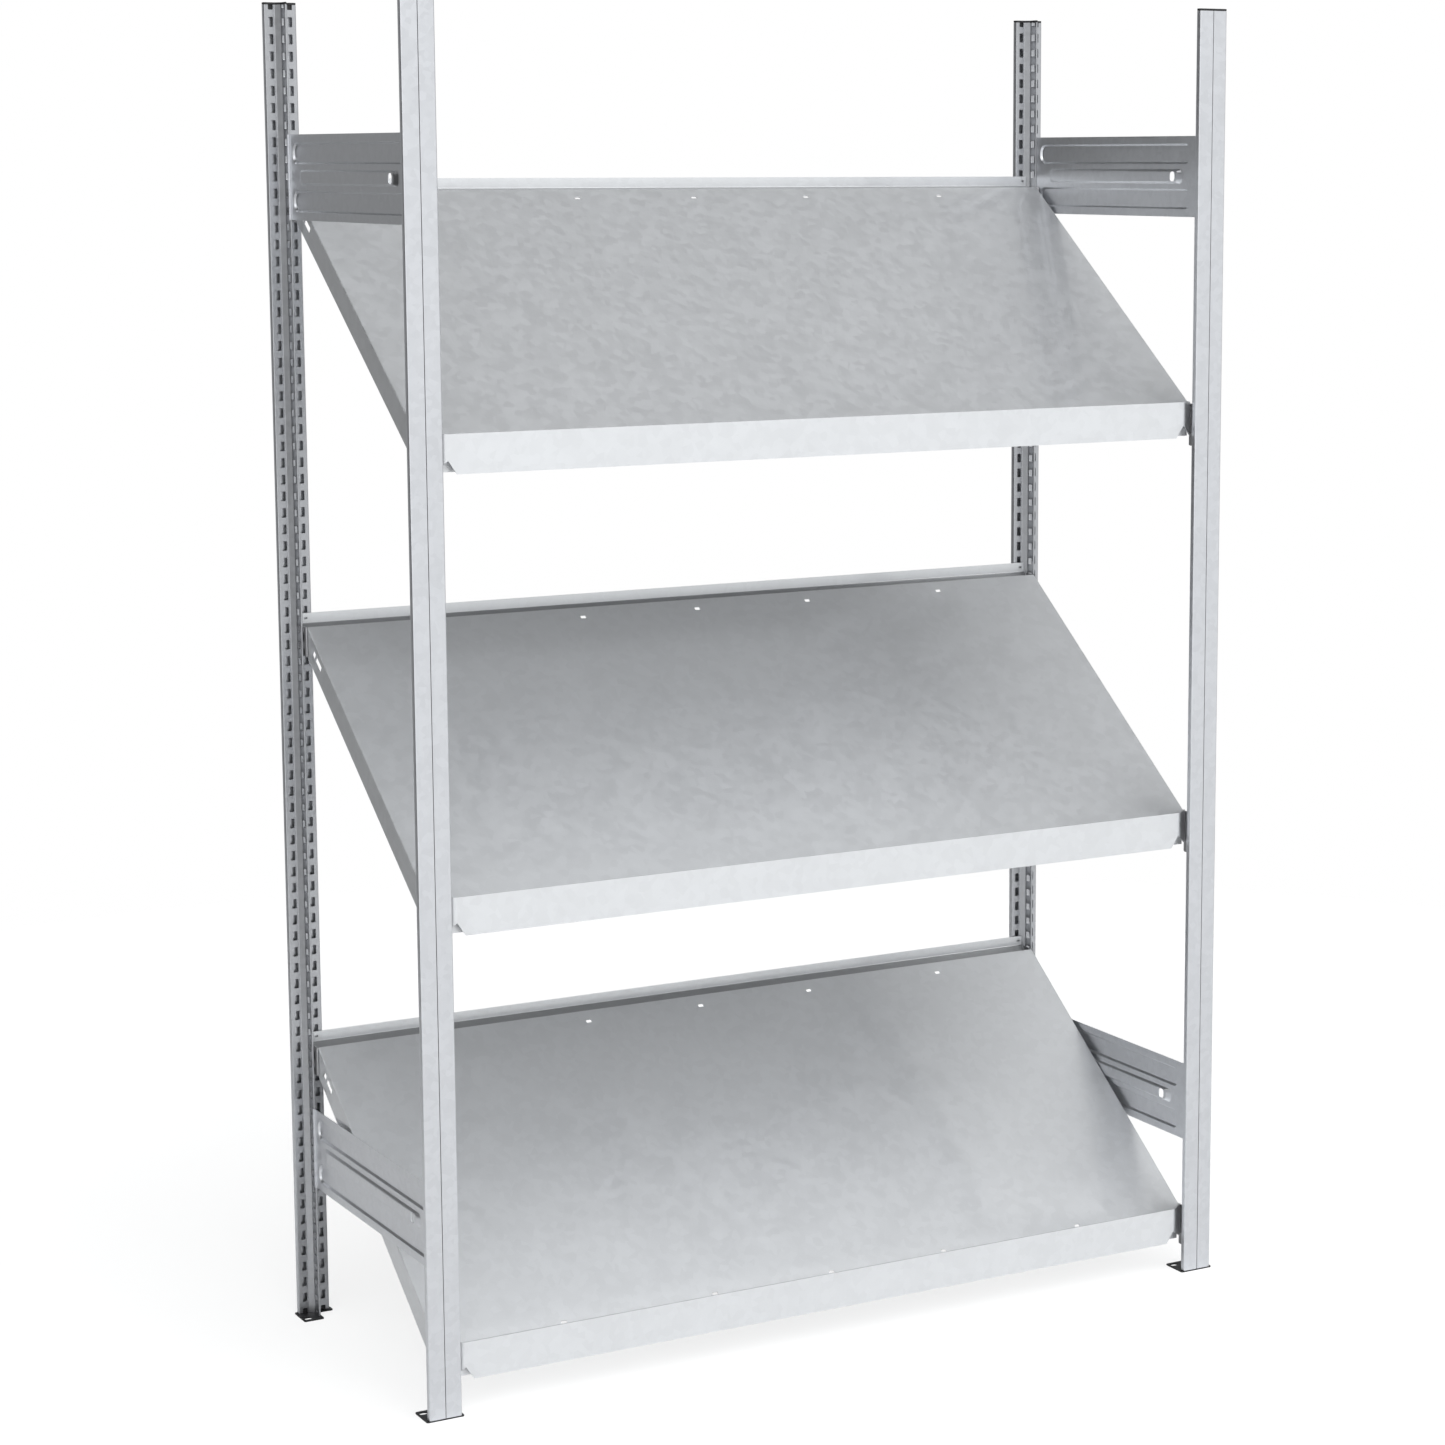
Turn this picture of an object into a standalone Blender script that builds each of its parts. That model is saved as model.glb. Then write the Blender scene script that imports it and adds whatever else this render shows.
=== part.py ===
"""Slanted shelving unit: four perforated steel uprights, four tie bars and three sloping shelves.

Everything is in metres. The origin is on the floor under the middle of the unit, +Z is up and the
shelves slope down towards the front, which is -Y. The sheet-metal pieces are drawn as the bent strips
that they are: a path for one side of the sheet, the same path moved over by the sheet's thickness, and
a sweep or a cut for the rest. Pieces that touch keep the clearance GAP.
"""

import math

import bmesh
import bpy
from mathutils import Matrix, Vector

MM = 0.001

# Clearance between pieces that touch
GAP = 0.3 * MM

# Uprights: a T section bent from one strip, whose two edges meet in a seam on the outer face
UPRIGHT_HEIGHT = 2000 * MM
UPRIGHT_WIDTH = 50 * MM
UPRIGHT_DEPTH = 35 * MM
UPRIGHT_SHEET = 1.5 * MM
HEAD_DEPTH = 10 * MM
FUNNEL_WIDTH = 17 * MM
FUNNEL_DEPTH = 7 * MM
SEAM_WIDTH = 1 * MM
UPRIGHT_BEND = 2.2 * MM
FRAME_DEPTH = 536 * MM

# Rectangular holes in the two inner flanges of an upright
HOLE_PITCH = 25 * MM
HOLE_WIDTH = 7.5 * MM
HOLE_HEIGHT = 14.6 * MM
HOLE_OFFSET = 14.75 * MM

# End caps and foot plates, both plugged into the upright's hollow head
CAP_THICKNESS = 3 * MM
PLUG_LENGTH = 9 * MM
PLUG_FIT = 1 * MM
PLUG_LAP = 0.5 * MM
FOOT_THICKNESS = 2 * MM
FOOT_OVERHANG = 4 * MM
FOOT_DEPTH = 46 * MM
FOOT_SHORT_DEPTH = 15 * MM
FOOT_WING_REACH = 3 * MM
FOOT_CORNER = 3 * MM
FOOT_SLOT_LENGTH = 13 * MM
FOOT_SLOT_WIDTH = 9 * MM
FOOT_SLOT_SIDE = 20 * MM
FOOT_SLOT_DEPTH = 36 * MM

# Tie bars between a front and a rear upright
BAR_SHEET = 1 * MM
BAR_HEIGHT = 125 * MM
BAR_FOLD = 9 * MM
UPPER_BAR_CENTRE = 1751 * MM
LOWER_BAR_CENTRE = 271 * MM
BEAD_RISE = 5 * MM
BEAD_SLOPE = 3 * MM
BEAD_CORNER = 8.5 * MM
BEAD_SPACING = 35 * MM
WIDE_BEAD = 32 * MM
WIDE_FRONT_MARGIN = 25 * MM
WIDE_REAR_MARGIN = 11 * MM
NARROW_BEAD = 22 * MM
NARROW_MARGIN = 53 * MM
BAR_HOLE_WIDTH = 13 * MM
BAR_HOLE_HEIGHT = 17 * MM
BAR_HOLE_MARGIN = 65 * MM

# Shelves
SHELF_COUNT = 3
SHELF_SPACING_HOLES = 26
FIRST_LIP_HEIGHT = 48 * MM
SHELF_WIDTH = 1291 * MM
SHELF_SHEET = 1 * MM
SHELF_SLOPE = math.radians(36.6)
SIDE_FLANGE = 37 * MM
SIDE_FLANGE_CORNER = 22 * MM

# The upright front lip, folded double, with ends set at 45 degrees to clear the uprights
LIP_HEIGHT = 56 * MM
LIP_INNER_RISE = 8 * MM
LIP_BELOW_SURFACE = 28 * MM
LIP_SETBACK = 3.6 * MM
LIP_END = 27.4 * MM
SURFACE_START = 1.4 * MM
NOTCH_HEIGHT = 20 * MM
NOTCH_FOOT = 17 * MM
NOTCH_PEAK = 4.6 * MM
NOTCH_END = 16 * MM
LIP_END_RISE = 3 * MM

# The open channel along the rear edge, whose rear wall stands a little above the surface
CHANNEL_WIDTH = 24.4 * MM
CHANNEL_DEPTH = 16.3 * MM
CHANNEL_WALL_RISE = 2.3 * MM
WALL_SLOT_WIDTH = 6 * MM
WALL_SLOT_HEIGHT = 3 * MM
WALL_SLOT_INSET = 9 * MM

# Slots in a side flange, measured from the rear edge and from the surface
LONG_SLOT_LENGTH = 20 * MM
LONG_SLOT_WIDTH = 7 * MM
LONG_SLOT_BACK = 67 * MM
SHORT_SLOT_LENGTH = 6 * MM
SHORT_SLOT_WIDTH = 8 * MM
SHORT_SLOT_BACK = 47 * MM
FLANGE_SLOT_DROP = 15 * MM

# Shelf clips: folded channels between an upright's stem and a shelf's side flange
CLIP_SHEET = 1.5 * MM
CLIP_THICKNESS = 5.4 * MM
CLIP_WIDTH = 29 * MM
CLIP_CORNER = 6 * MM
FRONT_CLIP_HEIGHT = 71 * MM
FRONT_CLIP_TOP = 51 * MM
REAR_CLIP_HEIGHT = 45 * MM
REAR_CLIP_DROP = 1 * MM

# How finely arcs are divided, and how far a cutter reaches past what it cuts
BEND_STEPS = 1
END_STEPS = 3
REACH = 10 * MM

# Sizes that follow from the ones above
STEM_HALF = UPRIGHT_SHEET
UPRIGHT_SPACING = SHELF_WIDTH + 2 * (GAP + CLIP_THICKNESS + GAP + STEM_HALF)
AXIS_X = UPRIGHT_SPACING / 2
FACE_Y = FRAME_DEPTH / 2
UPRIGHT_BASE = FOOT_THICKNESS + GAP
SHELF_SPACING = SHELF_SPACING_HOLES * HOLE_PITCH
LIP_Y = HEAD_DEPTH + LIP_SETBACK - FACE_Y
SHELF_HALF = SHELF_WIDTH / 2
LIP_FLAT_HALF = SHELF_HALF - LIP_END
RISE = math.sin(SHELF_SLOPE)
RUN = math.cos(SHELF_SLOPE)
FUNNEL_SLOPE = FUNNEL_DEPTH / (FUNNEL_WIDTH / 2 - STEM_HALF)
FUNNEL_OVER_SHELF = (FUNNEL_WIDTH / 2 - (AXIS_X - SHELF_HALF)) * FUNNEL_SLOPE
CHANNEL_OUTER_Y = FACE_Y - HEAD_DEPTH - FUNNEL_OVER_SHELF - 2 * GAP
WALL_ALONG = (CHANNEL_OUTER_Y - LIP_Y - (CHANNEL_DEPTH + SHELF_SHEET) * RISE) / RUN - SHELF_SHEET
EDGE_ALONG = WALL_ALONG - CHANNEL_WIDTH
BAR_HALF = FACE_Y - UPRIGHT_DEPTH - GAP - BAR_SHEET / 2

STEEL = {"colour": (0.62, 0.63, 0.65, 1.0), "metallic": 0.9, "roughness": 0.38}
SHELF_STEEL = {"colour": (0.58, 0.60, 0.60, 1.0), "metallic": 0.9, "roughness": 0.34}
CLIP_STEEL = {"colour": (0.20, 0.20, 0.21, 1.0), "metallic": 0.8, "roughness": 0.45}
BLACK_PLASTIC = {"colour": (0.02, 0.02, 0.022, 1.0), "metallic": 0.0, "roughness": 0.5}


def clear_scene():
    """Empty the file of the objects that Blender starts with."""
    for obj in list(bpy.data.objects):
        bpy.data.objects.remove(obj, do_unlink=True)


# Outlines


def offset_path(path, distance):
    """An open path moved to its left by distance, with mitred corners."""
    points = [Vector(point) for point in path]
    moved = []
    for index, point in enumerate(points):
        normals = []
        if index > 0:
            step = (point - points[index - 1]).normalized()
            normals.append(Vector((-step.y, step.x)))
        if index < len(points) - 1:
            step = (points[index + 1] - point).normalized()
            normals.append(Vector((-step.y, step.x)))
        bisector = (normals[0] + normals[-1]).normalized()
        moved.append(point + bisector * (distance / bisector.dot(normals[0])))
    return [tuple(point) for point in moved]


def bent_sheet(path, thickness):
    """Closed outline of a sheet whose one side is path and whose other side lies to its left."""
    return list(path) + list(reversed(offset_path(path, thickness)))


def rounded(before, corner, after, radius, steps):
    """Points of an arc that rounds the corner between two straight edges."""
    corner = Vector(corner)
    towards_start = (Vector(before) - corner).normalized()
    towards_end = (Vector(after) - corner).normalized()
    half_angle = towards_start.angle(towards_end) / 2
    centre = corner + (towards_start + towards_end).normalized() * (radius / math.sin(half_angle))
    start = corner + towards_start * (radius / math.tan(half_angle)) - centre
    turn = math.pi - 2 * half_angle
    if towards_start.x * towards_end.y - towards_start.y * towards_end.x > 0:
        turn = -turn
    points = []
    for step in range(steps + 1):
        arm = Matrix.Rotation(turn * step / steps, 2) @ start
        points.append(tuple(centre + arm))
    return points


def rectangle(low, high):
    """The four corners of an upright rectangle."""
    return [(low[0], low[1]), (high[0], low[1]), (high[0], high[1]), (low[0], high[1])]


def stadium(centre, length, width, steps):
    """A slot outline along the first axis, with a half circle at each end."""
    radius = width / 2
    run = length / 2 - radius
    points = []
    for side, start in ((1, -math.pi / 2), (-1, math.pi / 2)):
        for step in range(steps + 1):
            angle = start + math.pi * step / steps
            across = centre[0] + side * run + radius * math.cos(angle)
            points.append((across, centre[1] + radius * math.sin(angle)))
    return points


# Solids


def swept(name, outline, place, sweep):
    """Object made by setting a flat outline in space with place() and sweeping it along a vector."""
    bm = bmesh.new()
    base = bm.faces.new([bm.verts.new(place(*point)) for point in outline])
    grown = bmesh.ops.extrude_face_region(bm, geom=[base])
    far_side = [item for item in grown["geom"] if isinstance(item, bmesh.types.BMVert)]
    bmesh.ops.translate(bm, verts=far_side, vec=sweep)
    bmesh.ops.recalc_face_normals(bm, faces=bm.faces)
    return as_object(name, bm)


def as_object(name, bm):
    """Object in the scene that holds a finished bmesh."""
    mesh = bpy.data.meshes.new(name)
    bm.to_mesh(mesh)
    bm.free()
    obj = bpy.data.objects.new(name, mesh)
    bpy.context.scene.collection.objects.link(obj)
    return obj


def plan_prism(name, outline, bottom, top):
    """Upright prism over an outline drawn in plan."""
    return swept(name, outline, lambda x, y: (x, y, bottom), (0, 0, top - bottom))


def side_prism(name, outline, start, end):
    """Prism along X over an outline drawn from the side, in Y and Z."""
    return swept(name, outline, lambda y, z: (start, y, z), (end - start, 0, 0))


def boxes(name, spans):
    """One object of several separate boxes, each given by its low and high corner."""
    bm = bmesh.new()
    for low, high in spans:
        size = Vector(high) - Vector(low)
        centre = (Vector(high) + Vector(low)) / 2
        scale = Matrix.Diagonal((*size, 1))
        bmesh.ops.create_cube(bm, size=1, matrix=Matrix.Translation(centre) @ scale)
    return as_object(name, bm)


def combine(body, tool, operation):
    """Apply an exact Boolean to body with tool, then remove tool."""
    modifier = body.modifiers.new("combine", "BOOLEAN")
    modifier.operation = operation
    modifier.object = tool
    modifier.solver = "EXACT"
    depsgraph = bpy.context.evaluated_depsgraph_get()
    result = bpy.data.meshes.new_from_object(body.evaluated_get(depsgraph))
    body.modifiers.clear()
    before = body.data
    body.data = result
    bpy.data.meshes.remove(before)
    bpy.data.objects.remove(tool)


def merge_flat_faces(obj):
    """Join neighbouring faces that lie in one plane, which Booleans leave in strips."""
    bm = bmesh.new()
    bm.from_mesh(obj.data)
    bmesh.ops.remove_doubles(bm, verts=bm.verts, dist=0.001 * MM)
    bmesh.ops.dissolve_limit(bm, angle_limit=math.radians(0.05), verts=bm.verts, edges=bm.edges)
    bm.to_mesh(obj.data)
    bm.free()


def finish(obj, look):
    """Give an object its own material and smooth its arcs."""
    material = bpy.data.materials.new(obj.name + "_finish")
    material.use_nodes = True
    shader = material.node_tree.nodes["Principled BSDF"]
    shader.inputs["Base Color"].default_value = look["colour"]
    shader.inputs["Metallic"].default_value = look["metallic"]
    shader.inputs["Roughness"].default_value = look["roughness"]
    obj.data.materials.clear()
    obj.data.materials.append(material)
    obj.data.shade_smooth()
    obj.data.set_sharp_from_angle(angle=math.radians(35))


def copy_of(template, name):
    """A further object with its own copy of a template's mesh."""
    obj = bpy.data.objects.new(name, template.data.copy())
    bpy.context.scene.collection.objects.link(obj)
    return obj


# Uprights


def upright_half(reach):
    """Outer side of the right half of the section, from the seam to the tip of the stem."""
    half = UPRIGHT_WIDTH / 2
    outer = (half, 0)
    inner = (half, HEAD_DEPTH)
    flange_end = (FUNNEL_WIDTH / 2, HEAD_DEPTH)
    stem_start = (STEM_HALF, HEAD_DEPTH + FUNNEL_DEPTH)
    path = [(reach, 0)]
    path += rounded((reach, 0), outer, inner, UPRIGHT_BEND, BEND_STEPS)
    path += rounded(outer, inner, flange_end, UPRIGHT_BEND, BEND_STEPS)
    path += [flange_end, stem_start, (STEM_HALF, UPRIGHT_DEPTH)]
    return path


def mirrored(path):
    """The same path on the other side of the centre line, in the opposite order."""
    return [(-across, inward) for across, inward in reversed(path)]


def upright_template():
    """A perforated upright that stands on z = 0, its outer face on y = 0 and its stem along +Y."""
    outside = upright_half(SEAM_WIDTH / 2)
    inside = offset_path(outside, UPRIGHT_SHEET)[:-1]
    inside[-1] = (0, inside[-1][1])
    left_inside = [(-across, inward) for across, inward in inside]
    section = outside + mirrored(outside) + left_inside + list(reversed(inside))[1:]
    upright = plan_prism("upright", section, 0, UPRIGHT_HEIGHT)

    spans = []
    for index in range(int(UPRIGHT_HEIGHT / HOLE_PITCH + 0.5) + 1):
        height = index * HOLE_PITCH
        for side in (-1, 1):
            across = side * HOLE_OFFSET
            low = (across - HOLE_WIDTH / 2, HEAD_DEPTH - 2 * UPRIGHT_SHEET, height - HOLE_HEIGHT / 2)
            high = (across + HOLE_WIDTH / 2, HEAD_DEPTH + UPRIGHT_SHEET, height + HOLE_HEIGHT / 2)
            spans.append((low, high))
    combine(upright, boxes("hole_cutter", spans), "DIFFERENCE")
    merge_flat_faces(upright)
    return upright


def head_plug(bottom, top):
    """Block that fits inside the hollow head of an upright."""
    across = UPRIGHT_WIDTH / 2 - UPRIGHT_SHEET - PLUG_FIT
    outer = UPRIGHT_SHEET + PLUG_FIT
    inner = HEAD_DEPTH - UPRIGHT_SHEET - PLUG_FIT
    return boxes("plug", [((-across, outer, bottom), (across, inner, top))])


def cap_template():
    """End cap: a T-shaped plate that starts at z = 0, with a plug that reaches down from it."""
    outside = upright_half(0)
    cap = plan_prism("cap", outside[1:] + mirrored(outside)[:-1], 0, CAP_THICKNESS)
    combine(cap, head_plug(-PLUG_LENGTH, PLUG_LAP), "UNION")
    merge_flat_faces(cap)
    return cap


def foot_template(wing_side):
    """Foot plate on z = 0: a strip under the head and a slotted wing on one side of the stem."""
    edge = UPRIGHT_WIDTH / 2 + FOOT_OVERHANG
    corners = [
        (-edge, 0),
        (edge, 0),
        (edge, FOOT_SHORT_DEPTH),
        (FOOT_WING_REACH, FOOT_SHORT_DEPTH),
        (FOOT_WING_REACH, FOOT_DEPTH),
        (-edge, FOOT_DEPTH),
    ]
    outline = []
    for index, corner in enumerate(corners):
        if corner == (FOOT_WING_REACH, FOOT_SHORT_DEPTH):
            outline.append(corner)
            continue
        before = corners[index - 1]
        after = corners[(index + 1) % len(corners)]
        outline += rounded(before, corner, after, FOOT_CORNER, BEND_STEPS)
    slot = stadium((-FOOT_SLOT_SIDE, FOOT_SLOT_DEPTH), FOOT_SLOT_LENGTH, FOOT_SLOT_WIDTH, END_STEPS)
    outline = [(-wing_side * across, inward) for across, inward in outline]
    slot = [(-wing_side * across, inward) for across, inward in slot]
    plate = plan_prism("foot", outline, 0, FOOT_THICKNESS)
    combine(plate, plan_prism("slot_cutter", slot, -REACH, FOOT_THICKNESS + REACH), "DIFFERENCE")
    combine(plate, head_plug(FOOT_THICKNESS - PLUG_LAP, FOOT_THICKNESS + PLUG_LENGTH), "UNION")
    merge_flat_faces(plate)
    return plate


# Tie bars


def rounded_rectangle(low, high, radius):
    """Outline of a rectangle with its corners cut back, from the low end's lower corner."""
    corners = rectangle(low, high)
    outline = []
    for index, corner in enumerate(corners):
        following = corners[(index + 1) % len(corners)]
        outline += rounded(corners[index - 1], corner, following, radius, BEND_STEPS)
    return outline


def bar_template(fold_side):
    """Pressed panel in the plane x = 0, its ends folded to one side.

    The two wide beads are pressed towards +X and sheared open at their rear ends. The narrow bead between
    them is pressed towards -X and has an oval hole near its front end.
    """
    bm = bmesh.new()

    def loop(points, depth):
        verts = [bm.verts.new((depth, y, z)) for y, z in points]
        edges = [bm.edges.new((verts[index - 1], verts[index])) for index in range(len(verts))]
        return verts, edges

    half_height = BAR_HEIGHT / 2
    frame, panel_edges = loop(rectangle((-BAR_HALF, -half_height), (BAR_HALF, half_height)), 0)
    for low, high in ((0, 3), (1, 2)):
        ends = [frame[low], frame[high]]
        folded = [bm.verts.new((fold_side * BAR_FOLD, vert.co.y, vert.co.z)) for vert in reversed(ends)]
        bm.faces.new(ends + folded)

    beads = [
        (BEAD_SPACING, WIDE_BEAD, WIDE_FRONT_MARGIN, WIDE_REAR_MARGIN, 1),
        (0, NARROW_BEAD, NARROW_MARGIN, NARROW_MARGIN, -1),
        (-BEAD_SPACING, WIDE_BEAD, WIDE_FRONT_MARGIN, WIDE_REAR_MARGIN, 1),
    ]
    for height, width, front_margin, rear_margin, side in beads:
        low = Vector((front_margin - BAR_HALF, height - width / 2))
        high = Vector((BAR_HALF - rear_margin, height + width / 2))
        inset = Vector((BEAD_SLOPE, BEAD_SLOPE))
        foot, foot_edges = loop(rounded_rectangle(low, high, BEAD_CORNER), 0)
        crest_outline = rounded_rectangle(low + inset, high - inset, BEAD_CORNER - BEAD_SLOPE)
        crest, crest_edges = loop(crest_outline, side * BEAD_RISE)
        panel_edges += foot_edges
        if side < 0:
            hole = stadium((0, height), BAR_HOLE_HEIGHT, BAR_HOLE_WIDTH, END_STEPS)
            hole_centre = BAR_HOLE_MARGIN - BAR_HALF
            hole_points = [(hole_centre - across, along) for along, across in hole]
            crest_edges += loop(hole_points, side * BEAD_RISE)[1]
        bmesh.ops.triangle_fill(bm, edges=crest_edges, use_beauty=True, use_dissolve=False)
        for index in range(len(foot)):
            following = (index + 1) % len(foot)
            at_rear = min(foot[index].co.y, foot[following].co.y) > high.x - BEAD_CORNER - BAR_SHEET
            if side > 0 and at_rear:
                continue
            bm.faces.new([foot[index], foot[following], crest[following], crest[index]])

    bmesh.ops.triangle_fill(bm, edges=panel_edges, use_beauty=True, use_dissolve=False)
    bmesh.ops.recalc_face_normals(bm, faces=bm.faces)
    bar = as_object("bar", bm)

    modifier = bar.modifiers.new("sheet", "SOLIDIFY")
    modifier.thickness = BAR_SHEET
    modifier.offset = 0
    modifier.use_even_offset = True
    depsgraph = bpy.context.evaluated_depsgraph_get()
    solid = bpy.data.meshes.new_from_object(bar.evaluated_get(depsgraph))
    bar.modifiers.clear()
    bar.data = solid
    return bar


# Shelves


def on_slope(along, above):
    """World Y and Z of a point given along the slope from the lip and above the surface."""
    return (LIP_Y + along * RUN - above * RISE, LIP_BELOW_SURFACE + along * RISE + above * RUN)


def across_unit(name, outline, start, end):
    """Prism along X over an outline given along and above the slope."""
    return side_prism(name, [on_slope(*point) for point in outline], start, end)


def shelf_tray():
    """Sloping surface with the open channel along its rear edge, its front corners cut at 45 degrees."""
    surface = [
        (SURFACE_START / RUN, 0),
        (EDGE_ALONG, 0),
        (EDGE_ALONG, -CHANNEL_DEPTH),
        (WALL_ALONG, -CHANNEL_DEPTH),
        (WALL_ALONG, CHANNEL_WALL_RISE),
    ]
    tray = across_unit("tray", bent_sheet(surface, -SHELF_SHEET), -SHELF_HALF, SHELF_HALF)
    inset = SURFACE_START / math.sqrt(2)
    for side in (-1, 1):
        corner = [
            (side * (SHELF_HALF + REACH - inset), LIP_Y + LIP_END + REACH + inset),
            (side * (LIP_FLAT_HALF - REACH - inset), LIP_Y - REACH + inset),
            (side * (SHELF_HALF + REACH - inset), LIP_Y - REACH + inset),
        ]
        combine(tray, plan_prism("corner_cutter", corner, -REACH, LIP_HEIGHT + SIDE_FLANGE), "DIFFERENCE")
    return tray


def side_flange(start, end):
    """One side flange, with a large round at its rear lower corner."""
    inside_sheet = SHELF_SHEET / 2
    front = LIP_END / RUN
    rear = EDGE_ALONG - inside_sheet
    outline = [(front, -inside_sheet), (rear, -inside_sheet)]
    outline += rounded((rear, 0), (rear, -SIDE_FLANGE), (front, -SIDE_FLANGE), SIDE_FLANGE_CORNER, END_STEPS)
    outline.append((front, -SIDE_FLANGE))
    return across_unit("side_flange", outline, start, end)


def lip_path():
    """Outer side of the lip in plan, with its two ends set back at 45 degrees."""
    return [
        (-SHELF_HALF, LIP_Y + LIP_END),
        (-LIP_FLAT_HALF, LIP_Y),
        (LIP_FLAT_HALF, LIP_Y),
        (SHELF_HALF, LIP_Y + LIP_END),
    ]


def shelf_lip():
    """Lip folded double: the outer layer is notched where its ends are set back, the inner is shorter."""
    lip = plan_prism("lip", bent_sheet(lip_path(), SHELF_SHEET), 0, LIP_HEIGHT)
    for side in (-1, 1):
        notch = [
            (LIP_FLAT_HALF - NOTCH_FOOT, -REACH),
            (LIP_FLAT_HALF - NOTCH_FOOT, 0),
            (LIP_FLAT_HALF - NOTCH_PEAK, NOTCH_HEIGHT),
            (LIP_FLAT_HALF + NOTCH_END, LIP_END_RISE),
            (SHELF_HALF + REACH, LIP_END_RISE),
            (SHELF_HALF + REACH, -REACH),
        ]
        outline = [(side * across, height) for across, height in notch]
        cutter = swept(
            "notch_cutter",
            outline,
            lambda across, height: (across, LIP_Y - REACH, height),
            (0, LIP_END + 2 * REACH, 0),
        )
        combine(lip, cutter, "DIFFERENCE")
    pressed_together = SHELF_SHEET / 2
    inner_path = offset_path(lip_path(), pressed_together)
    inner_outline = bent_sheet(inner_path, 2 * SHELF_SHEET - pressed_together)
    combine(lip, plan_prism("inner_lip", inner_outline, LIP_INNER_RISE, LIP_HEIGHT), "UNION")
    return lip


def shelf_template():
    """One whole shelf, with the bottom of its lip on z = 0."""
    shelf = shelf_tray()
    combine(shelf, side_flange(-SHELF_HALF, -SHELF_HALF + SHELF_SHEET), "UNION")
    combine(shelf, side_flange(SHELF_HALF - SHELF_SHEET, SHELF_HALF), "UNION")
    combine(shelf, shelf_lip(), "UNION")

    slots = [
        (LONG_SLOT_BACK, LONG_SLOT_LENGTH, LONG_SLOT_WIDTH),
        (SHORT_SLOT_BACK, SHORT_SLOT_LENGTH, SHORT_SLOT_WIDTH),
    ]
    for back, length, width in slots:
        low = (EDGE_ALONG - back - length / 2, -FLANGE_SLOT_DROP - width / 2)
        high = (EDGE_ALONG - back + length / 2, -FLANGE_SLOT_DROP + width / 2)
        cutter = across_unit("slot_cutter", rectangle(low, high), -SHELF_HALF - REACH, SHELF_HALF + REACH)
        combine(shelf, cutter, "DIFFERENCE")
    for side in (-1, 1):
        centre = side * (SHELF_HALF - WALL_SLOT_INSET)
        low = (centre - WALL_SLOT_WIDTH / 2, -CHANNEL_DEPTH / 2 - WALL_SLOT_HEIGHT / 2)
        high = (centre + WALL_SLOT_WIDTH / 2, -CHANNEL_DEPTH / 2 + WALL_SLOT_HEIGHT / 2)
        cutter = swept(
            "wall_slot_cutter",
            rectangle(low, high),
            lambda across, above: (across, *on_slope(WALL_ALONG - SHELF_SHEET, above)),
            (0, 3 * SHELF_SHEET * RUN, 3 * SHELF_SHEET * RISE),
        )
        combine(shelf, cutter, "DIFFERENCE")
    merge_flat_faces(shelf)
    return shelf


def clip_template(name, height):
    """Shelf clip on z = 0: a channel open towards -X, with its inner lower corner rounded."""
    profile = [(0, 0), (CLIP_THICKNESS, 0), (CLIP_THICKNESS, CLIP_WIDTH), (0, CLIP_WIDTH)]
    clip = plan_prism(name, bent_sheet(profile, CLIP_SHEET), 0, height)
    outline = [(-REACH, -REACH), (-REACH, height + REACH), (CLIP_WIDTH, height + REACH)]
    outline += rounded((CLIP_WIDTH, height), (CLIP_WIDTH, 0), (0, 0), CLIP_CORNER, BEND_STEPS)
    outline.append((CLIP_WIDTH - CLIP_CORNER, -REACH))
    limit = side_prism("clip_limit", outline, -REACH, CLIP_THICKNESS + REACH)
    combine(clip, limit, "INTERSECT")
    merge_flat_faces(clip)
    return clip


# Assembly


def mirror_mesh(obj, axis):
    """Mirror an object's mesh in place and turn its faces outwards again."""
    factors = [1, 1, 1]
    factors[axis] = -1
    obj.data.transform(Matrix.Diagonal((*factors, 1)))
    obj.data.flip_normals()


def place_uprights():
    """Uprights, end caps and foot plates at the four corners; the rear ones face the other way."""
    upright = upright_template()
    cap = cap_template()
    feet = {"front": foot_template(-1), "rear": foot_template(1)}
    for row, direction in (("front", -1), ("rear", 1)):
        for column, side in (("left", -1), ("right", 1)):
            corner = f"{row}_{column}"
            turn = 0 if row == "front" else math.pi
            pieces = [
                (upright, f"upright_{corner}", UPRIGHT_BASE, STEEL),
                (cap, f"end_cap_{corner}", UPRIGHT_BASE + UPRIGHT_HEIGHT + GAP, BLACK_PLASTIC),
                (feet[row], f"foot_plate_{corner}", 0, BLACK_PLASTIC),
            ]
            for template, name, height, look in pieces:
                piece = copy_of(template, name)
                piece.location = (side * AXIS_X, direction * FACE_Y, height)
                piece.rotation_euler = (0, 0, turn)
                finish(piece, look)
    for template in (upright, cap, *feet.values()):
        bpy.data.objects.remove(template)


def place_tie_bars():
    """Upper and lower tie bars between the stems on each side, their ends folded outwards."""
    for column, side in (("left", -1), ("right", 1)):
        bar = bar_template(side)
        for level, height in (("upper", UPPER_BAR_CENTRE), ("lower", LOWER_BAR_CENTRE)):
            piece = copy_of(bar, f"tie_bar_{level}_{column}")
            piece.location = (side * AXIS_X, 0, height)
            finish(piece, STEEL)
        bpy.data.objects.remove(bar)


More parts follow.
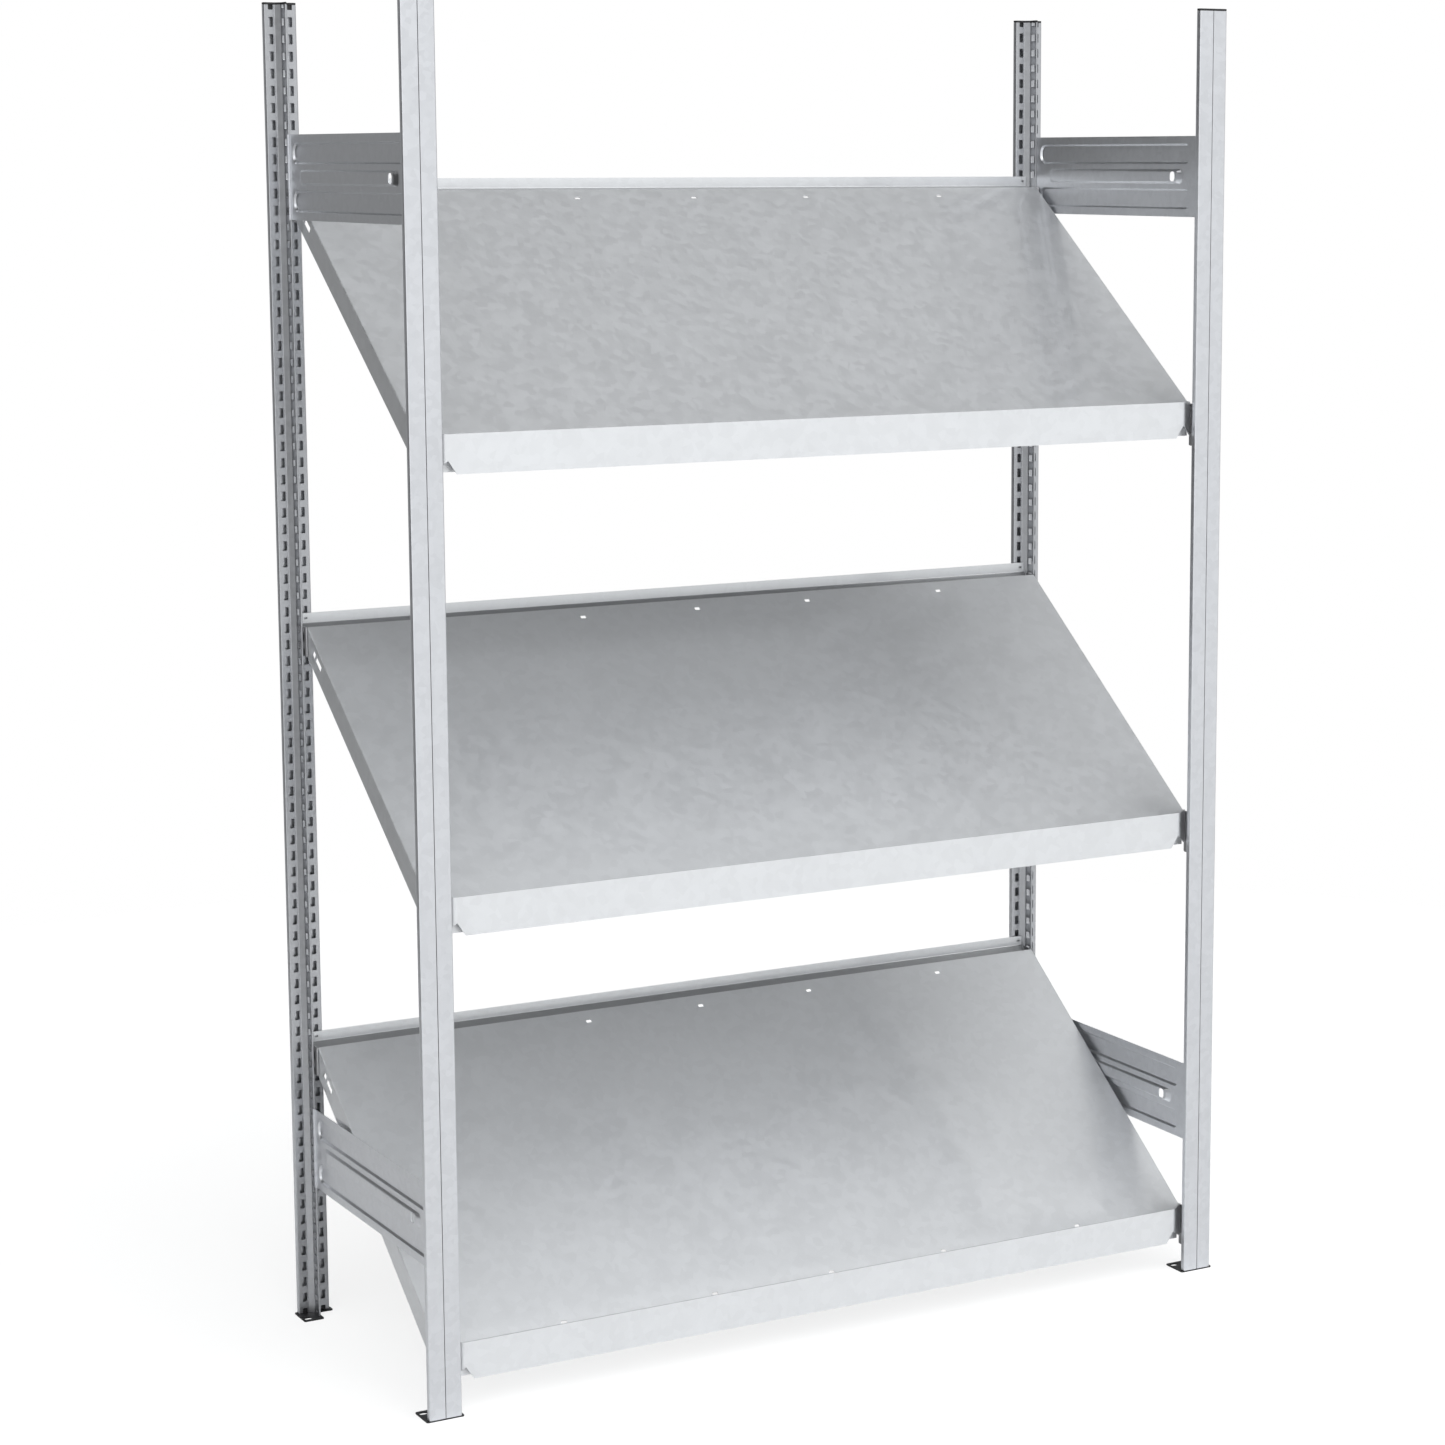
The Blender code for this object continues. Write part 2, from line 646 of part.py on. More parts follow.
def place_shelves():
    """Shelves at equal steps up the uprights, each with a clip at every corner."""
    shelf = shelf_template()
    clips = {
        "front": clip_template("front_clip", FRONT_CLIP_HEIGHT),
        "rear": clip_template("rear_clip", REAR_CLIP_HEIGHT),
    }
    mirror_mesh(clips["rear"], 1)
    edge_height = on_slope(EDGE_ALONG, 0)[1]
    clip_bottom = {
        "front": FRONT_CLIP_TOP - FRONT_CLIP_HEIGHT,
        "rear": edge_height - REAR_CLIP_DROP - REAR_CLIP_HEIGHT,
    }
    stem_start = HEAD_DEPTH + FUNNEL_DEPTH + GAP
    for index in range(SHELF_COUNT):
        level = ("lower", "middle", "upper")[index]
        height = FIRST_LIP_HEIGHT + index * SHELF_SPACING
        piece = copy_of(shelf, f"shelf_{level}")
        piece.location = (0, 0, height)
        finish(piece, SHELF_STEEL)
        for row, direction in (("front", -1), ("rear", 1)):
            for column, side in (("left", -1), ("right", 1)):
                clip = copy_of(clips[row], f"clip_{level}_{row}_{column}")
                if column == "right":
                    mirror_mesh(clip, 0)
                clip.location = (
                    side * (AXIS_X - STEM_HALF - GAP),
                    direction * (FACE_Y - stem_start),
                    height + clip_bottom[row],
                )
                finish(clip, CLIP_STEEL)
    for template in (shelf, *clips.values()):
        bpy.data.objects.remove(template)


def main():
    clear_scene()
    place_uprights()
    place_tie_bars()
    place_shelves()


main()
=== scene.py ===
"""Looks of the slanted shelving unit: finer folds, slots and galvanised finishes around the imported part."""

import math

import bmesh
import bpy
from mathutils import Matrix, Vector


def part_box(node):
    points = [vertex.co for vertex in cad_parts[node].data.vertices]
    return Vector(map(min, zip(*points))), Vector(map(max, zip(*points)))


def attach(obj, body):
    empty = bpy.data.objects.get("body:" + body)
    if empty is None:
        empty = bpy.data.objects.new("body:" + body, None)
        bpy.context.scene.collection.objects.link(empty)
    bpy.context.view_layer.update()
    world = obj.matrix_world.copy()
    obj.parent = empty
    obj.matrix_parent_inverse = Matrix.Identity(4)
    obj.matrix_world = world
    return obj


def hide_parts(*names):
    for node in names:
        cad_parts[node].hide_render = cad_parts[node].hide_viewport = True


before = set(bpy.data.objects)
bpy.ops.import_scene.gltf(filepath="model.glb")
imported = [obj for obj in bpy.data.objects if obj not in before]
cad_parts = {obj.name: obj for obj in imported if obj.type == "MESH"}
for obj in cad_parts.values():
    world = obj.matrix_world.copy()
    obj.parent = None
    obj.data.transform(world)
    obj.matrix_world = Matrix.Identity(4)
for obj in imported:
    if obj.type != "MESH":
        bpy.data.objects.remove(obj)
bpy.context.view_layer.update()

MM = 0.001

# Sheets and bends
UPRIGHT_SHEET = 1.5 * MM
BAR_SHEET = 1 * MM
SHELF_SHEET = 1 * MM
CLIP_SHEET = 1.5 * MM
BEND_STEPS = 5
CORNER_STEPS = 8

# Upright section, from the seam on the outer face to the tip of the stem
HEAD_DEPTH = 10 * MM
FUNNEL_WIDTH = 17 * MM
FUNNEL_DEPTH = 7 * MM
SEAM_WIDTH = 1 * MM
HEAD_BEND = 2.2 * MM
FUNNEL_BEND = 1.2 * MM
TIP_BEND = 1.3 * MM
HOLE_PITCH = 25 * MM
FLANGE_HOLE = (7.5 * MM, 14.6 * MM)
FLANGE_HOLE_OFFSET = 14.75 * MM
FLANGE_HOLE_CORNER = 1.2 * MM
STEM_SLOT = (10.5 * MM, 11 * MM)
STEM_SLOT_DEPTH = 25.5 * MM
STEM_SLOT_CORNER = 1.5 * MM

# The hollow in the upright's section ends where it comes this near to the middle, in a point this far on
HOLLOW_GAP = 0.05 * MM
HOLLOW_TIP = 0.1 * MM

# End caps and foot plates
CAP_EDGE = 0.6 * MM
PLUG_LENGTH = 9 * MM
PLUG_FIT = 1 * MM
PLUG_LAP = 0.5 * MM
PLUG_CORNER = 1.2 * MM
FOOT_THICKNESS = 2 * MM
FOOT_SHORT_DEPTH = 15 * MM
FOOT_WING_REACH = 3 * MM
FOOT_CORNER = 3 * MM
FOOT_EDGE = 0.35 * MM
FOOT_SLOT = (13 * MM, 9 * MM)
FOOT_SLOT_SIDE = 20 * MM
FOOT_SLOT_DEPTH = 36 * MM

# Tie bars
BAR_FOLD = 3.5 * MM
BAR_FOLD_BEND = 1.5 * MM
BEAD_RISE = 3.5 * MM
BEAD_SLOPE = 3 * MM
BEAD_CORNER = 8.5 * MM
BEAD_REAR_CORNER = 15 * MM
BEAD_SPACING = 35 * MM
WIDE_BEAD = 32 * MM
WIDE_FRONT_MARGIN = 25 * MM
WIDE_REAR_MARGIN = 11 * MM
NARROW_BEAD = 22 * MM
NARROW_MARGIN = 40 * MM
NARROW_END_SLOPE = 14 * MM
BAR_HOLE = (13 * MM, 17 * MM)
BAR_HOLE_MARGIN = 65 * MM

# A bead's flank, as shares of its slope's width and of its depth
BEAD_PROFILE = [(-0.15, 0), (0.08, 0.03), (0.24, 0.17), (0.76, 0.83), (0.92, 0.97), (1.15, 1)]

# Shelves
SHELF_SLOPE = math.radians(36.6)
RISE = math.sin(SHELF_SLOPE)
RUN = math.cos(SHELF_SLOPE)
SHELF_MIDDLE = SHELF_SHEET / 2
SIDE_FLANGE = 37 * MM
SIDE_FLANGE_CORNER = 22 * MM
SIDE_BEND = 1.9 * MM
CHANNEL_BEND = 1.8 * MM
LIP_HEIGHT = 56 * MM
LIP_HEM = 14 * MM
HEM_SHEET = 1.5 * SHELF_SHEET
RETURN_SETBACK = 12 * MM
RETURN_RISE = 2.5 * MM
LIP_BELOW_SURFACE = 28 * MM
LIP_END = 28.5 * MM
LIP_CORNER = 12 * MM
NOTCH_HEIGHT = 19 * MM
NOTCH_FOOT = 17 * MM
NOTCH_PEAK = 4.6 * MM
NOTCH_END = 20 * MM
LIP_END_RISE = 3 * MM
LIP_END_FALL = 4 * MM
EDGE_ALONG = 597.5 * MM
CHANNEL_WIDTH = 24.4 * MM
CHANNEL_DEPTH = 16.3 * MM
WALL_HEIGHT = 15.6 * MM

# A shelf's slots: in its rear wall, in its side flanges (length, width, distance from the rear edge) and,
# for dividers, in its surface
WALL_SLOT = (6 * MM, 3 * MM)
WALL_SLOT_CORNER = 0.6 * MM
WALL_SLOT_INSET = 9 * MM
LONG_SLOT = (23 * MM, 10 * MM, 67 * MM)
SHORT_SLOT = (9 * MM, 10 * MM, 46 * MM)
FLANGE_SLOT_CORNER = 1.5 * MM
FLANGE_SLOT_DROP = 15 * MM
DIVIDER_SLOT = (9 * MM, 6 * MM)
DIVIDER_SLOT_CORNER = 0.8 * MM
DIVIDER_SLOTS = [x * MM for x in (-448, -200, 0, 200, 448)]
REAR_SLOT_ALONG = 575 * MM
FRONT_SLOT_ALONG = 34 * MM

# Clips
CLIP_CORNER = 4.5 * MM
CLIP_BEND = 1.6 * MM
CLIP_TRIM = 5 * MM

# How much further out a shelf reaches than its solid, and how much flatter its clips are
SIDE_SHIFT = 2.6 * MM

# How far a cutter reaches past what it cuts, and what keeps two bends or arcs from meeting in one point
REACH = 10 * MM
APART = 0.01 * MM

# Vertices nearer than this are one, a bend below this angle is flat, and one above this angle is sharp
MERGE = 0.002 * MM
FLAT_TURN = math.radians(0.05)
SHARP_TURN = math.radians(35)

# Shade painted into the colour of zinc that lies in a recess: the name of the value kept on the faces, and
# how much it darkens them
PAINTED_SHADE_NAME = "painted_shade"
STEM_PAINTED_SHADE = 0.3
CHANNEL_PAINTED_SHADE = 0.5
RETURN_PAINTED_SHADE = 0.6

# A face looks up, or to the front, when this much of its normal does
UPWARDS = 0.5
FORWARDS = 0.9


# Outlines


def fillet(points, radii, steps, closed=False):
    """A path with its corners rounded; radii gives one radius for each point, 0 to leave it sharp."""
    path = []
    count = len(points)
    for index, corner in enumerate(points):
        radius = radii[index]
        at_end = not closed and index in (0, count - 1)
        if at_end or radius == 0:
            path.append(tuple(corner))
            continue
        corner = Vector(corner)
        back = (Vector(points[index - 1]) - corner).normalized()
        ahead = (Vector(points[(index + 1) % count]) - corner).normalized()
        half_angle = back.angle(ahead) / 2
        centre = corner + (back + ahead).normalized() * (radius / math.sin(half_angle))
        start = corner + back * (radius / math.tan(half_angle)) - centre
        turn = math.pi - 2 * half_angle
        if back.x * ahead.y - back.y * ahead.x > 0:
            turn = -turn
        for step in range(steps + 1):
            path.append(tuple(centre + Matrix.Rotation(turn * step / steps, 2) @ start))
    return path


def offset_path(path, distance):
    """An open path moved to its left by distance, with mitred corners."""
    points = [Vector(point) for point in path]
    moved = []
    for index, point in enumerate(points):
        normals = []
        if index > 0:
            step = (point - points[index - 1]).normalized()
            normals.append(Vector((-step.y, step.x)))
        if index < len(points) - 1:
            step = (points[index + 1] - point).normalized()
            normals.append(Vector((-step.y, step.x)))
        bisector = (normals[0] + normals[-1]).normalized()
        moved.append(tuple(point + bisector * (distance / bisector.dot(normals[0]))))
    return moved


def bent_sheet(path, thickness):
    """Closed outline of a sheet whose one side is path and whose other side lies to its left."""
    return list(path) + list(reversed(offset_path(path, thickness)))


def mirrored(path):
    """The same path on the other side of the centre line, in the opposite order."""
    return [(-across, inward) for across, inward in reversed(path)]


def rounded_box(low, high, radius, steps=CORNER_STEPS, high_radius=None):
    """Outline of a rectangle with rounded corners, those at its high end with a radius of their own."""
    corners = [(low[0], low[1]), (high[0], low[1]), (high[0], high[1]), (low[0], high[1])]
    other = radius if high_radius is None else high_radius
    return fillet(corners, [radius, other, other, radius], steps, closed=True)


def slot_outline(centre, size, radius, steps=3):
    """Outline of a slot of that size around its centre."""
    half = Vector(size) / 2
    middle = Vector(centre)
    return rounded_box(middle - half, middle + half, radius, steps)


# Meshes


def as_object(name, bm):
    """Object in the scene that holds a finished bmesh."""
    mesh = bpy.data.meshes.new(name)
    bm.to_mesh(mesh)
    bm.free()
    obj = bpy.data.objects.new(name, mesh)
    bpy.context.scene.collection.objects.link(obj)
    return obj


def add_prism(bm, outline, place, sweep):
    """Sweep an outline, set in space by place(), along a vector."""
    near = [bm.verts.new(place(*point)) for point in outline]
    far = [bm.verts.new(vert.co + Vector(sweep)) for vert in near]
    bm.faces.new(near)
    bm.faces.new(list(reversed(far)))
    for index in range(len(outline)):
        following = (index + 1) % len(outline)
        bm.faces.new([near[following], near[index], far[index], far[following]])


def prisms(name, outlines, place, sweep):
    """Object of separate swept outlines, closed and facing outwards."""
    bm = bmesh.new()
    for outline in outlines:
        add_prism(bm, outline, place, sweep)
    bmesh.ops.recalc_face_normals(bm, faces=bm.faces)
    return as_object(name, bm)


def prism(name, outline, place, sweep):
    """Object of one swept outline."""
    return prisms(name, [outline], place, sweep)


def plan(height):
    """Sets a point drawn in plan at a height."""
    return lambda x, y: (x, y, height)


def edge_loop(bm, points):
    """Vertices and edges of a closed loop through points."""
    verts = [bm.verts.new(point) for point in points]
    edges = [bm.edges.new((verts[index - 1], verts[index])) for index in range(len(verts))]
    return verts, edges


def add_strip(bm, row, following):
    """Face between two rows of two vertices; returns the second row."""
    bm.faces.new([row[0], row[1], following[1], following[0]])
    return following


def edges_around(bm, chain):
    """Edges of the closed chain of vertices, made where they are missing."""
    pairs = [(chain[index - 1], chain[index]) for index in range(len(chain))]
    return [bm.edges.get(pair) or bm.edges.new(pair) for pair in pairs]


def fill(bm, edges):
    """Flat faces inside closed loops of edges, with holes where one loop lies in another."""
    bmesh.ops.triangle_fill(bm, edges=edges, use_beauty=True, use_dissolve=False)


def thicken(obj, thickness):
    """Turn a surface into a closed sheet of even thickness around it."""
    modifier = obj.modifiers.new("sheet", "SOLIDIFY")
    modifier.thickness = thickness
    modifier.offset = 0
    modifier.use_even_offset = True
    depsgraph = bpy.context.evaluated_depsgraph_get()
    solid = bpy.data.meshes.new_from_object(obj.evaluated_get(depsgraph))
    obj.modifiers.clear()
    obj.data = solid


def combine(body, tool, operation="DIFFERENCE"):
    """Apply an exact Boolean to body with tool, then remove tool."""
    modifier = body.modifiers.new("combine", "BOOLEAN")
    modifier.operation = operation
    modifier.object = tool
    modifier.solver = "EXACT"
    depsgraph = bpy.context.evaluated_depsgraph_get()
    result = bpy.data.meshes.new_from_object(body.evaluated_get(depsgraph))
    body.modifiers.clear()
    before = body.data
    body.data = result
    bpy.data.meshes.remove(before)
    bpy.data.objects.remove(tool)


def round_edges(obj, radius, chosen, steps=3):
    """Bevel the edges for which chosen(edge) holds."""
    bm = bmesh.new()
    bm.from_mesh(obj.data)
    edges = [edge for edge in bm.edges if chosen(edge)]
    bmesh.ops.bevel(bm, geom=edges, offset=radius, segments=steps, profile=0.5, affect="EDGES")
    bm.to_mesh(obj.data)
    bm.free()


def tidy_mesh(obj):
    """Merge what Booleans leave double or in strips."""
    bm = bmesh.new()
    bm.from_mesh(obj.data)
    bmesh.ops.remove_doubles(bm, verts=bm.verts, dist=MERGE)
    bmesh.ops.dissolve_limit(bm, angle_limit=FLAT_TURN, verts=bm.verts, edges=bm.edges)
    bm.to_mesh(obj.data)
    bm.free()


def smooth(obj):
    """Smooth shading across bends, with flat faces kept flat."""
    obj.data.shade_smooth()
    obj.data.set_sharp_from_angle(angle=SHARP_TURN)
    normals = obj.modifiers.new("flat_faces", "WEIGHTED_NORMAL")
    normals.keep_sharp = True
    normals.weight = 100


def paint_shade(obj, amount):
    """Keep on each face how much shade is painted into its colour, from amount(its middle, its normal)."""
    values = [amount(face.center, face.normal) for face in obj.data.polygons]
    obj.data.attributes.new(PAINTED_SHADE_NAME, "FLOAT", "FACE").data.foreach_set("value", values)


def level_edges(height):
    """Chooses the edges that lie at one height."""

    def chosen(edge):
        return all(abs(vert.co.z - height) < MERGE for vert in edge.verts)

    return chosen


# Uprights, end caps and foot plates


def upright_half(seam, half_width, depth):
    """Outer side of the right half of the section, from the seam to the middle of the stem's tip."""
    points = [
        (seam, 0),
        (half_width, 0),
        (half_width, HEAD_DEPTH),
        (FUNNEL_WIDTH / 2, HEAD_DEPTH),
        (UPRIGHT_SHEET, HEAD_DEPTH + FUNNEL_DEPTH),
        (UPRIGHT_SHEET, depth),
        (0, depth),
    ]
    radii = [0, HEAD_BEND, HEAD_BEND, FUNNEL_BEND, FUNNEL_BEND, TIP_BEND, 0]
    return fillet(points, radii, BEND_STEPS)


def upright_mesh(half_width, depth, height):
    """Perforated upright on z = 0, its outer face on y = 0 and its stem along +Y."""
    outside = upright_half(SEAM_WIDTH / 2, half_width, depth)
    sheet_side = outside[: len(outside) - BEND_STEPS - 2]
    inside = offset_path(sheet_side, UPRIGHT_SHEET)
    kept = [point for point in inside if point[0] > HOLLOW_GAP]
    inside = kept + [(0, kept[-1][1] + HOLLOW_TIP)]
    left_inside = [(-across, inward) for across, inward in inside]
    left_outside = mirrored(outside)[1:]
    section = outside + left_outside + left_inside + list(reversed(inside))[1:]
    upright = prism("upright", section, plan(0), (0, 0, height))

    count = round(height / HOLE_PITCH)
    heights = [index * HOLE_PITCH for index in range(count + 1)]
    holes = []
    slots = []
    for level in heights:
        for side in (-1, 1):
            centre = (side * FLANGE_HOLE_OFFSET, level)
            holes.append(slot_outline(centre, FLANGE_HOLE, FLANGE_HOLE_CORNER))
        slots.append(slot_outline((STEM_SLOT_DEPTH, level), STEM_SLOT, STEM_SLOT_CORNER))
    wall = HEAD_DEPTH - 2 * UPRIGHT_SHEET
    cutter = prisms("holes", holes, lambda x, z: (x, wall, z), (0, 3 * UPRIGHT_SHEET, 0))
    combine(upright, cutter)
    cutter = prisms("slots", slots, lambda y, z: (-2 * UPRIGHT_SHEET, y, z), (4 * UPRIGHT_SHEET, 0, 0))
    combine(upright, cutter)
    tidy_mesh(upright)
    # Shade painted on the faces behind the upright's head: the back of its flanges, the funnel and the stem
    head_inside = HEAD_DEPTH - UPRIGHT_SHEET / 2
    paint_shade(upright, lambda centre, normal: STEM_PAINTED_SHADE if centre.y > head_inside else 0.0)
    return upright


def plug_outlines(half_width):
    """Outlines in plan of the two plugs that hold a cap or a foot in the upright's head."""
    low = (SEAM_WIDTH + PLUG_FIT, UPRIGHT_SHEET + PLUG_FIT)
    high = (half_width - UPRIGHT_SHEET - PLUG_FIT, HEAD_DEPTH - UPRIGHT_SHEET - PLUG_FIT)
    right = rounded_box(low, high, PLUG_CORNER, 3)
    return [right, mirrored(right)]


def cap_mesh(half_width, depth, thickness):
    """End cap: a T-shaped plate from z = 0 with rounded edges and two plugs below it."""
    outside = upright_half(0, half_width, depth)
    cap = prism("cap", outside[1:] + mirrored(outside)[1:-1], plan(0), (0, 0, thickness))
    round_edges(cap, CAP_EDGE, level_edges(thickness))
    plug = prisms("plug", plug_outlines(half_width), plan(-PLUG_LENGTH), (0, 0, PLUG_LENGTH + PLUG_LAP))
    combine(cap, plug, "UNION")
    return cap


def foot_mesh(wing_side, edge, depth, half_width):
    """Foot plate on z = 0: a strip under the head and a slotted wing on one side of the stem."""
    corners = [
        (-edge, 0),
        (edge, 0),
        (edge, FOOT_SHORT_DEPTH),
        (FOOT_WING_REACH, FOOT_SHORT_DEPTH),
        (FOOT_WING_REACH, depth),
        (-edge, depth),
    ]
    radii = [FOOT_CORNER] * len(corners)
    outline = fillet(corners, radii, BEND_STEPS, closed=True)
    slot_centre = (-FOOT_SLOT_SIDE, FOOT_SLOT_DEPTH)
    slot = slot_outline(slot_centre, FOOT_SLOT, FOOT_SLOT[1] / 2 - APART, CORNER_STEPS)
    outline = [(-wing_side * across, inward) for across, inward in outline]
    slot = [(-wing_side * across, inward) for across, inward in slot]
    foot = prism("foot", outline, plan(0), (0, 0, FOOT_THICKNESS))
    combine(foot, prism("slot", slot, plan(-REACH), (0, 0, 2 * REACH)))
    round_edges(foot, FOOT_EDGE, level_edges(FOOT_THICKNESS), 2)
    start = FOOT_THICKNESS - PLUG_LAP
    plug = prisms("plug", plug_outlines(half_width), plan(start), (0, 0, PLUG_LENGTH))
    combine(foot, plug, "UNION")
    return foot


# Tie bars


def add_panel(bm, half_length, half_height, fold_side):
    """Folded ends of a bar's panel; returns the edges around its flat part."""
    flat_half = half_length - BAR_FOLD_BEND
    corners = [
        (0, -flat_half, -half_height),
        (0, flat_half, -half_height),
        (0, flat_half, half_height),
        (0, -flat_half, half_height),
    ]
    verts, edges = edge_loop(bm, corners)
    bend = fillet(
        [(flat_half, 0), (half_length, 0), (half_length, BAR_FOLD)],
        [0, BAR_FOLD_BEND - APART, 0],
        BEND_STEPS,
    )
    for low, high, end in ((0, 3, -1), (1, 2, 1)):
        row = [verts[low], verts[high]]
        for along, out in bend[2:]:
            following = [bm.verts.new((fold_side * out, end * along, vert.co.z)) for vert in row]
            row = add_strip(bm, row, following)
    return edges


def add_bead(bm, low, high, rear_corner, end_slope, depth, hole=()):
    """Bead pressed to that depth, with a hole in its crest; returns its edges in the panel."""
    loops = []
    for inset, share in BEAD_PROFILE:
        step = Vector((end_slope, BEAD_SLOPE)) * inset
        radius = BEAD_CORNER - BEAD_SLOPE * inset
        rear_radius = rear_corner - BEAD_SLOPE * inset
        outline = rounded_box(low + step, high - step, radius, high_radius=rear_radius)
        loops.append(edge_loop(bm, [(depth * share, y, z) for y, z in outline]))
    crest_edges = list(loops[-1][1])
    if hole:
        crest_edges += edge_loop(bm, [(depth, y, z) for y, z in hole])[1]
    fill(bm, crest_edges)
    for (outer, _), (inner, _) in zip(loops, loops[1:]):
        for index, start in enumerate(outer):
            following = (index + 1) % len(outer)
            bm.faces.new([start, outer[following], inner[following], inner[index]])
    return loops[0][1]


def bar_mesh(half_length, half_height, fold_side):
    """Pressed panel in the plane x = 0 with soft-edged beads, its ends folded to one side."""
    bm = bmesh.new()
    panel_edges = add_panel(bm, half_length, half_height, fold_side)
    hole_centre = (BAR_HOLE_MARGIN - half_length, 0)
    hole = slot_outline(hole_centre, BAR_HOLE, BAR_HOLE[0] / 2 - APART, CORNER_STEPS)
    wide = (WIDE_BEAD, WIDE_FRONT_MARGIN, WIDE_REAR_MARGIN, BEAD_REAR_CORNER, BEAD_SLOPE, BEAD_RISE)
    narrow = (NARROW_BEAD, NARROW_MARGIN, NARROW_MARGIN, BEAD_CORNER, NARROW_END_SLOPE, -BEAD_RISE)
    for height, bead, opening in ((BEAD_SPACING, wide, ()), (0, narrow, hole), (-BEAD_SPACING, wide, ())):
        width, front_margin, rear_margin, rear_corner, end_slope, depth = bead
        low = Vector((front_margin - half_length, height - width / 2))
        high = Vector((half_length - rear_margin, height + width / 2))
        panel_edges += add_bead(bm, low, high, rear_corner, end_slope, depth, opening)
    fill(bm, panel_edges)
    bmesh.ops.recalc_face_normals(bm, faces=bm.faces)
    bar = as_object("bar", bm)
    thicken(bar, BAR_SHEET)
    return bar


# Shelves


def slope_from(lip_y):
    """Sets a point given across the shelf, along its slope from the lip and above its surface."""

    def place(x, along, above):
        return (x, lip_y + along * RUN - above * RISE, LIP_BELOW_SURFACE + along * RISE + above * RUN)

    return place


def lip_end_at(x, lip_flat, above):
    """Where a line along the slope meets the middle of the lip's slanted end."""
    return (x - lip_flat + SHELF_MIDDLE * math.sqrt(2) + above * RISE) / RUN


def add_surface(bm, half_width, lip_y, soft_line):
    """Sloping surface with its divider slots; returns the vertices of its outline."""
    place = slope_from(lip_y)
    flat_x = half_width - SIDE_BEND
    rear = EDGE_ALONG - CHANNEL_BEND
    front = lip_end_at(flat_x, half_width - LIP_END, -SHELF_MIDDLE)
    outline = [(flat_x, front), (flat_x, rear), (-flat_x, rear), (-flat_x, front)]
    for x, y in offset_path(soft_line, SHELF_MIDDLE)[1:-1]:
        outline.append((x, (y - lip_y - SHELF_MIDDLE * RISE) / RUN))
    border, edges = edge_loop(bm, [place(x, along, -SHELF_MIDDLE) for x, along in outline])
    for across in DIVIDER_SLOTS:
        for along in (REAR_SLOT_ALONG, FRONT_SLOT_ALONG):
            hole = slot_outline((across, along), DIVIDER_SLOT, DIVIDER_SLOT_CORNER, 2)
            edges += edge_loop(bm, [place(*point, -SHELF_MIDDLE) for point in hole])[1]
    fill(bm, edges)
    return border


def add_side(bm, row, side, half_width, lip_y):
    """Side flange, rounded over from the surface's edge between the two vertices of row."""
    place = slope_from(lip_y)
    lip_flat = half_width - LIP_END
    flat_x = half_width - SIDE_BEND
    rear = EDGE_ALONG - CHANNEL_BEND
    outer_x = half_width - SHELF_MIDDLE
    bend = fillet(
        [(flat_x, -SHELF_MIDDLE), (outer_x, -SHELF_MIDDLE), (outer_x, -SIDE_FLANGE)],
        [0, SIDE_BEND - SHELF_MIDDLE, 0],
        BEND_STEPS,
    )
    for x, above in bend[2:-1]:
        ends = (lip_end_at(x, lip_flat, above), rear)
        row = add_strip(bm, row, [bm.verts.new(place(side * x, along, above)) for along in ends])
    lower = fillet(
        [(rear, bend[-2][1]), (rear, -SIDE_FLANGE), (lip_end_at(half_width, lip_flat, 0), -SIDE_FLANGE)],
        [0, SIDE_FLANGE_CORNER, 0],
        CORNER_STEPS,
    )
    lower_verts = [bm.verts.new(place(side * outer_x, along, above)) for along, above in lower[1:]]
    edges = edges_around(bm, row + lower_verts)
    for length, width, back in (LONG_SLOT, SHORT_SLOT):
        hole = slot_outline((EDGE_ALONG - back, -FLANGE_SLOT_DROP), (length, width), FLANGE_SLOT_CORNER)
        edges += edge_loop(bm, [place(side * outer_x, *point) for point in hole])[1]
    fill(bm, edges)


def add_channel(bm, row, half_width, lip_y):
    """Channel along the rear edge between the two vertices of row, whose rear wall stands upright."""
    place = slope_from(lip_y)
    flat_x = half_width - SIDE_BEND
    wall = EDGE_ALONG + CHANNEL_WIDTH + SHELF_MIDDLE
    bottom = SHELF_MIDDLE - CHANNEL_DEPTH - SHELF_SHEET

    def up_wall(height):
        return (wall + height * RISE, bottom + height * RUN)

    profile = fillet(
        [
            (EDGE_ALONG - CHANNEL_BEND, -SHELF_MIDDLE),
            (EDGE_ALONG - SHELF_MIDDLE, -SHELF_MIDDLE),
            (EDGE_ALONG - SHELF_MIDDLE, bottom),
            (wall, bottom),
            up_wall(WALL_HEIGHT),
        ],
        [0, CHANNEL_BEND - SHELF_MIDDLE - 2 * APART, CHANNEL_BEND, CHANNEL_BEND, 0],
        BEND_STEPS,
    )
    for along, above in profile[2:-1]:
        row = add_strip(bm, row, [bm.verts.new(place(x, along, above)) for x in (-flat_x, flat_x)])
    top_row = [bm.verts.new(place(x, *profile[-1])) for x in (-flat_x, flat_x)]
    edges = edges_around(bm, [row[0], row[1], top_row[1], top_row[0]])
    for side in (-1, 1):
        centre = (side * (half_width - WALL_SLOT_INSET), WALL_HEIGHT / 2)
        hole = slot_outline(centre, WALL_SLOT, WALL_SLOT_CORNER, 2)
        edges += edge_loop(bm, [place(x, *up_wall(height)) for x, height in hole])[1]
    fill(bm, edges)


